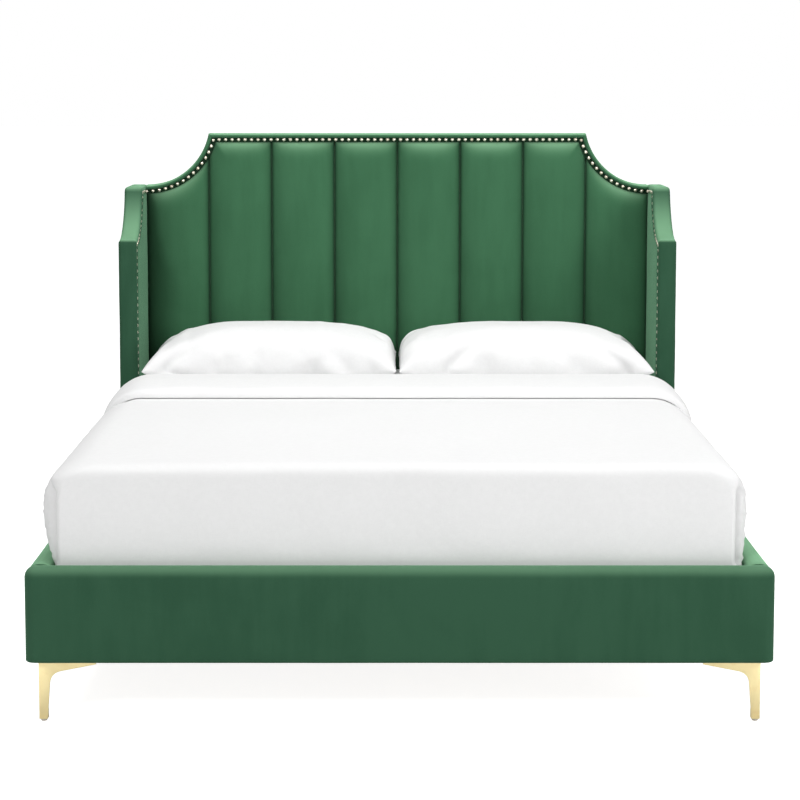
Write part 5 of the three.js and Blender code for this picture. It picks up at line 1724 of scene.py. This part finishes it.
class BED_OT_pillows(bpy.types.Operator):
    """Sews and fills the two pillows"""

    bl_idname = "bed.pillows"
    bl_label = "Pillows"

    def execute(self, context):
        sizes = context.scene.velvet_bed_sizes
        for side, name in ((-1, "left"), (1, "right")):
            self.pillow(side, name, sizes)
        return {"FINISHED"}

    def pillow(self, side, name, sizes):
        low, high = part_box(f"pillow_{name}")
        width, depth = high.x - low.x, high.y - low.y
        seam = low.z + 0.054
        points, faces = pillow_shell(width * 1.10, depth * 1.12, sizes.pillow_rows, 0.006)
        points[:, 2] += 0.0015 * wander(points[:, :2], 0.12, 100 + side) * np.sign(points[:, 2])
        piece = piece_from(f"pillow_{name}_case", points, faces, "pillow cotton", 75)
        inflate(piece)
        calm = piece.modifiers.new("Calm", "SMOOTH")
        calm.factor, calm.iterations = 0.5, 7
        baked(piece)
        mesh = piece.data
        co = np.zeros(len(mesh.vertices) * 3)
        mesh.vertices.foreach_get("co", co)
        co = co.reshape(-1, 3)
        middle = (co.min(0) + co.max(0)) / 2
        span = co.max(0) - co.min(0)
        co = (co - middle) / span
        upper = np.maximum(co[:, 2], 0) / max(co[:, 2].max(), 1e-6)
        lower = np.maximum(-co[:, 2], 0) / max(-co[:, 2].min(), 1e-6)
        rise = high.z - seam
        below = seam - low.z - 0.0006
        row = np.clip(((co[:, 1] + 0.5) * 30).astype(int), 0, 29)
        reach = np.array([(co[row == k, 0] * -side).max() for k in range(30)])
        reach = np.interp((co[:, 1] + 0.5) * 30 - 0.5, np.arange(30), reach)
        inward = np.clip(co[:, 0] * -side / 0.5, 0, 1)
        co[:, 0] *= 1 + (0.5 / reach - 1) * smooth(inward, 0.1, 0.95)
        from_end = (co[:, 0] * side + 0.5) * width
        slot = np.clip((from_end / width * 60).astype(int), 0, 59)
        ridge = np.array([upper[slot == k].max() for k in range(60)])
        ridge = np.interp(from_end / width * 60 - 0.5, np.arange(60), ridge)
        outer_end = (1 - np.clip(1 - (width - from_end) / 0.30, 0, 1) ** 2.8) ** 0.75
        inner_end = (1 - np.clip(1 - from_end / 0.30, 0, 1) ** 2.6) ** 0.30
        upper = upper * np.minimum(3.2, outer_end * inner_end / np.maximum(ridge, 0.05))
        z = seam + rise * upper - below * np.minimum(1.0, 1.35 * lower ** 0.9)
        x = (low.x + high.x) / 2 + co[:, 0] * (width - 0.001)
        y = (low.y + high.y) / 2 + co[:, 1] * (depth - 0.001)
        mesh.vertices.foreach_set("co", np.column_stack([x, y, z]).ravel())
        mesh.update()
        finer = piece.modifiers.new("Finer", "SUBSURF")
        finer.levels = finer.render_levels = 1
        baked(piece)
        piece.data.shade_smooth()
        settle(piece, f"pillow_{name}", "pillow_cotton", f"pillow_{name}", fill=0.75)


# ---------------------------------------------------------------- stage
class BED_OT_stage(bpy.types.Operator):
    """Sets the floor, the soft studio light and the camera"""

    bl_idname = "bed.stage"
    bl_label = "Stage"

    def execute(self, context):
        scene = context.scene
        scene.view_settings.view_transform = "Standard"
        scene.view_settings.look = "None"
        self.floor()
        self.lights(scene)
        self.camera(scene)
        return {"FINISHED"}

    def floor(self):
        size = 60.0
        plain = bpy.data.materials.new("studio floor")
        plain.use_nodes = True
        tree = plain.node_tree
        shader = tree.nodes["Principled BSDF"]
        shader.inputs["Base Color"].default_value = (0.80, 0.80, 0.80, 1.0)
        shader.inputs["Roughness"].default_value = 0.9
        shader.inputs["Specular IOR Level"].default_value = 0.1
        shader.inputs["Emission Color"].default_value = (1.0, 1.0, 1.0, 1.0)
        seen = tree.nodes.new("ShaderNodeLightPath").outputs["Is Camera Ray"]
        tree.links.new(maths(tree, "MULTIPLY", seen, 0.86), shader.inputs["Emission Strength"])
        below = tree.nodes.new("ShaderNodeNewGeometry").outputs["Backfacing"]
        tree.links.new(maths(tree, "SUBTRACT", 1.0, below), shader.inputs["Alpha"])
        mesh = bpy.data.meshes.new("studio_floor")
        mesh.from_pydata([(-size, -size, 0), (size, -size, 0), (size, size, 0), (-size, size, 0)], [],
                         [(0, 1, 2, 3)])
        mesh.materials.append(plain)
        floor = bpy.data.objects.new("studio_floor", mesh)
        bpy.context.scene.collection.objects.link(floor)

    def lights(self, scene):
        world = bpy.data.worlds.new("studio")
        scene.world = world
        world.use_nodes = True
        tree = world.node_tree
        background = tree.nodes["Background"]
        background.inputs["Color"].default_value = (1.0, 1.0, 1.0, 1.0)
        ray = tree.nodes.new("ShaderNodeLightPath")
        mirrored = maths(tree, "MULTIPLY_ADD", ray.outputs["Is Glossy Ray"], 0.80, 0.28)
        strength = put(tree, "ShaderNodeMix", {
            0: ray.outputs["Is Camera Ray"], 2: mirrored, 3: 1.0}, data_type="FLOAT")
        tree.links.new(strength.outputs[0], background.inputs["Strength"])
        for name, place, aim, size, power in (
            ("key", (-3.2, -7.0, 4.6), (0.0, 0.3, 0.5), (1.5, 1.5), 250.0),
            ("fill", (4.5, -3.4, 2.2), (0.0, 0.0, 0.6), (2.4, 2.4), 128.0),
            ("overhead", (0.0, 0.0, 4.2), (0.0, 0.0, 0.0), (2.4, 2.4), 98.0),
        ):
            lamp = bpy.data.lights.new(name, "AREA")
            lamp.shape, lamp.size, lamp.size_y, lamp.energy = "RECTANGLE", size[0], size[1], power
            lit = bpy.data.objects.new(name, lamp)
            lit.location = place
            lit.rotation_mode = "QUATERNION"
            lit.rotation_quaternion = (Vector(aim) - Vector(place)).to_track_quat("-Z", "Y")
            scene.collection.objects.link(lit)

    def camera(self, scene):
        lens = bpy.data.cameras.new("camera")
        lens.lens, lens.sensor_width = 103.04, 36.0
        lens.shift_x, lens.shift_y = 0.011, -0.10
        lens.clip_start, lens.clip_end = 0.05, 200.0
        view = bpy.data.objects.new("camera", lens)
        view.location = (-0.0188, -6.0899, 1.4430)
        view.rotation_euler = (math.pi / 2 - 0.10602, 0.0, 0.0)
        scene.collection.objects.link(view)
        scene.camera = view


# ---------------------------------------------------------------- panel and registration
OPERATORS = (BED_OT_stage, BED_OT_headboard, BED_OT_surround, BED_OT_trim, BED_OT_legs, BED_OT_base,
             BED_OT_mattress, BED_OT_duvet, BED_OT_pillows)


class BED_PT_pieces(bpy.types.Panel):
    """Lists the bed's pieces and their settings"""

    bl_label = "Velvet Bed"
    bl_idname = "BED_PT_pieces"
    bl_space_type = "VIEW_3D"
    bl_region_type = "UI"
    bl_category = "Velvet Bed"

    def draw(self, context):
        column = self.layout.column(align=True)
        for operator in OPERATORS:
            column.operator(operator.bl_idname)
        for group in (context.scene.velvet_bed_sizes, context.scene.velvet_bed_colours):
            box = self.layout.box()
            for name in group.bl_rna.properties.keys():
                if name not in ("name", "rna_type"):
                    box.prop(group, name)


CLASSES = (VelvetBedSizes, VelvetBedColours, *OPERATORS, BED_PT_pieces)


def register():
    """Adds the settings, the operators and the panel."""
    for cls in CLASSES:
        bpy.utils.register_class(cls)
    bpy.types.Scene.velvet_bed_sizes = PointerProperty(type=VelvetBedSizes)
    bpy.types.Scene.velvet_bed_colours = PointerProperty(type=VelvetBedColours)


def unregister():
    """Takes the settings, the operators and the panel away again."""
    del bpy.types.Scene.velvet_bed_sizes
    del bpy.types.Scene.velvet_bed_colours
    for cls in reversed(CLASSES):
        bpy.utils.unregister_class(cls)


def main():
    """Builds the whole bed."""
    register()
    make_materials(bpy.context.scene.velvet_bed_colours)
    bpy.ops.bed.stage()
    bpy.ops.bed.headboard()
    bpy.ops.bed.surround()
    bpy.ops.bed.trim()
    bpy.ops.bed.legs()
    bpy.ops.bed.base()
    bpy.ops.bed.mattress()
    bpy.ops.bed.duvet()
    bpy.ops.bed.pillows()


if __name__ == "__main__":
    main()
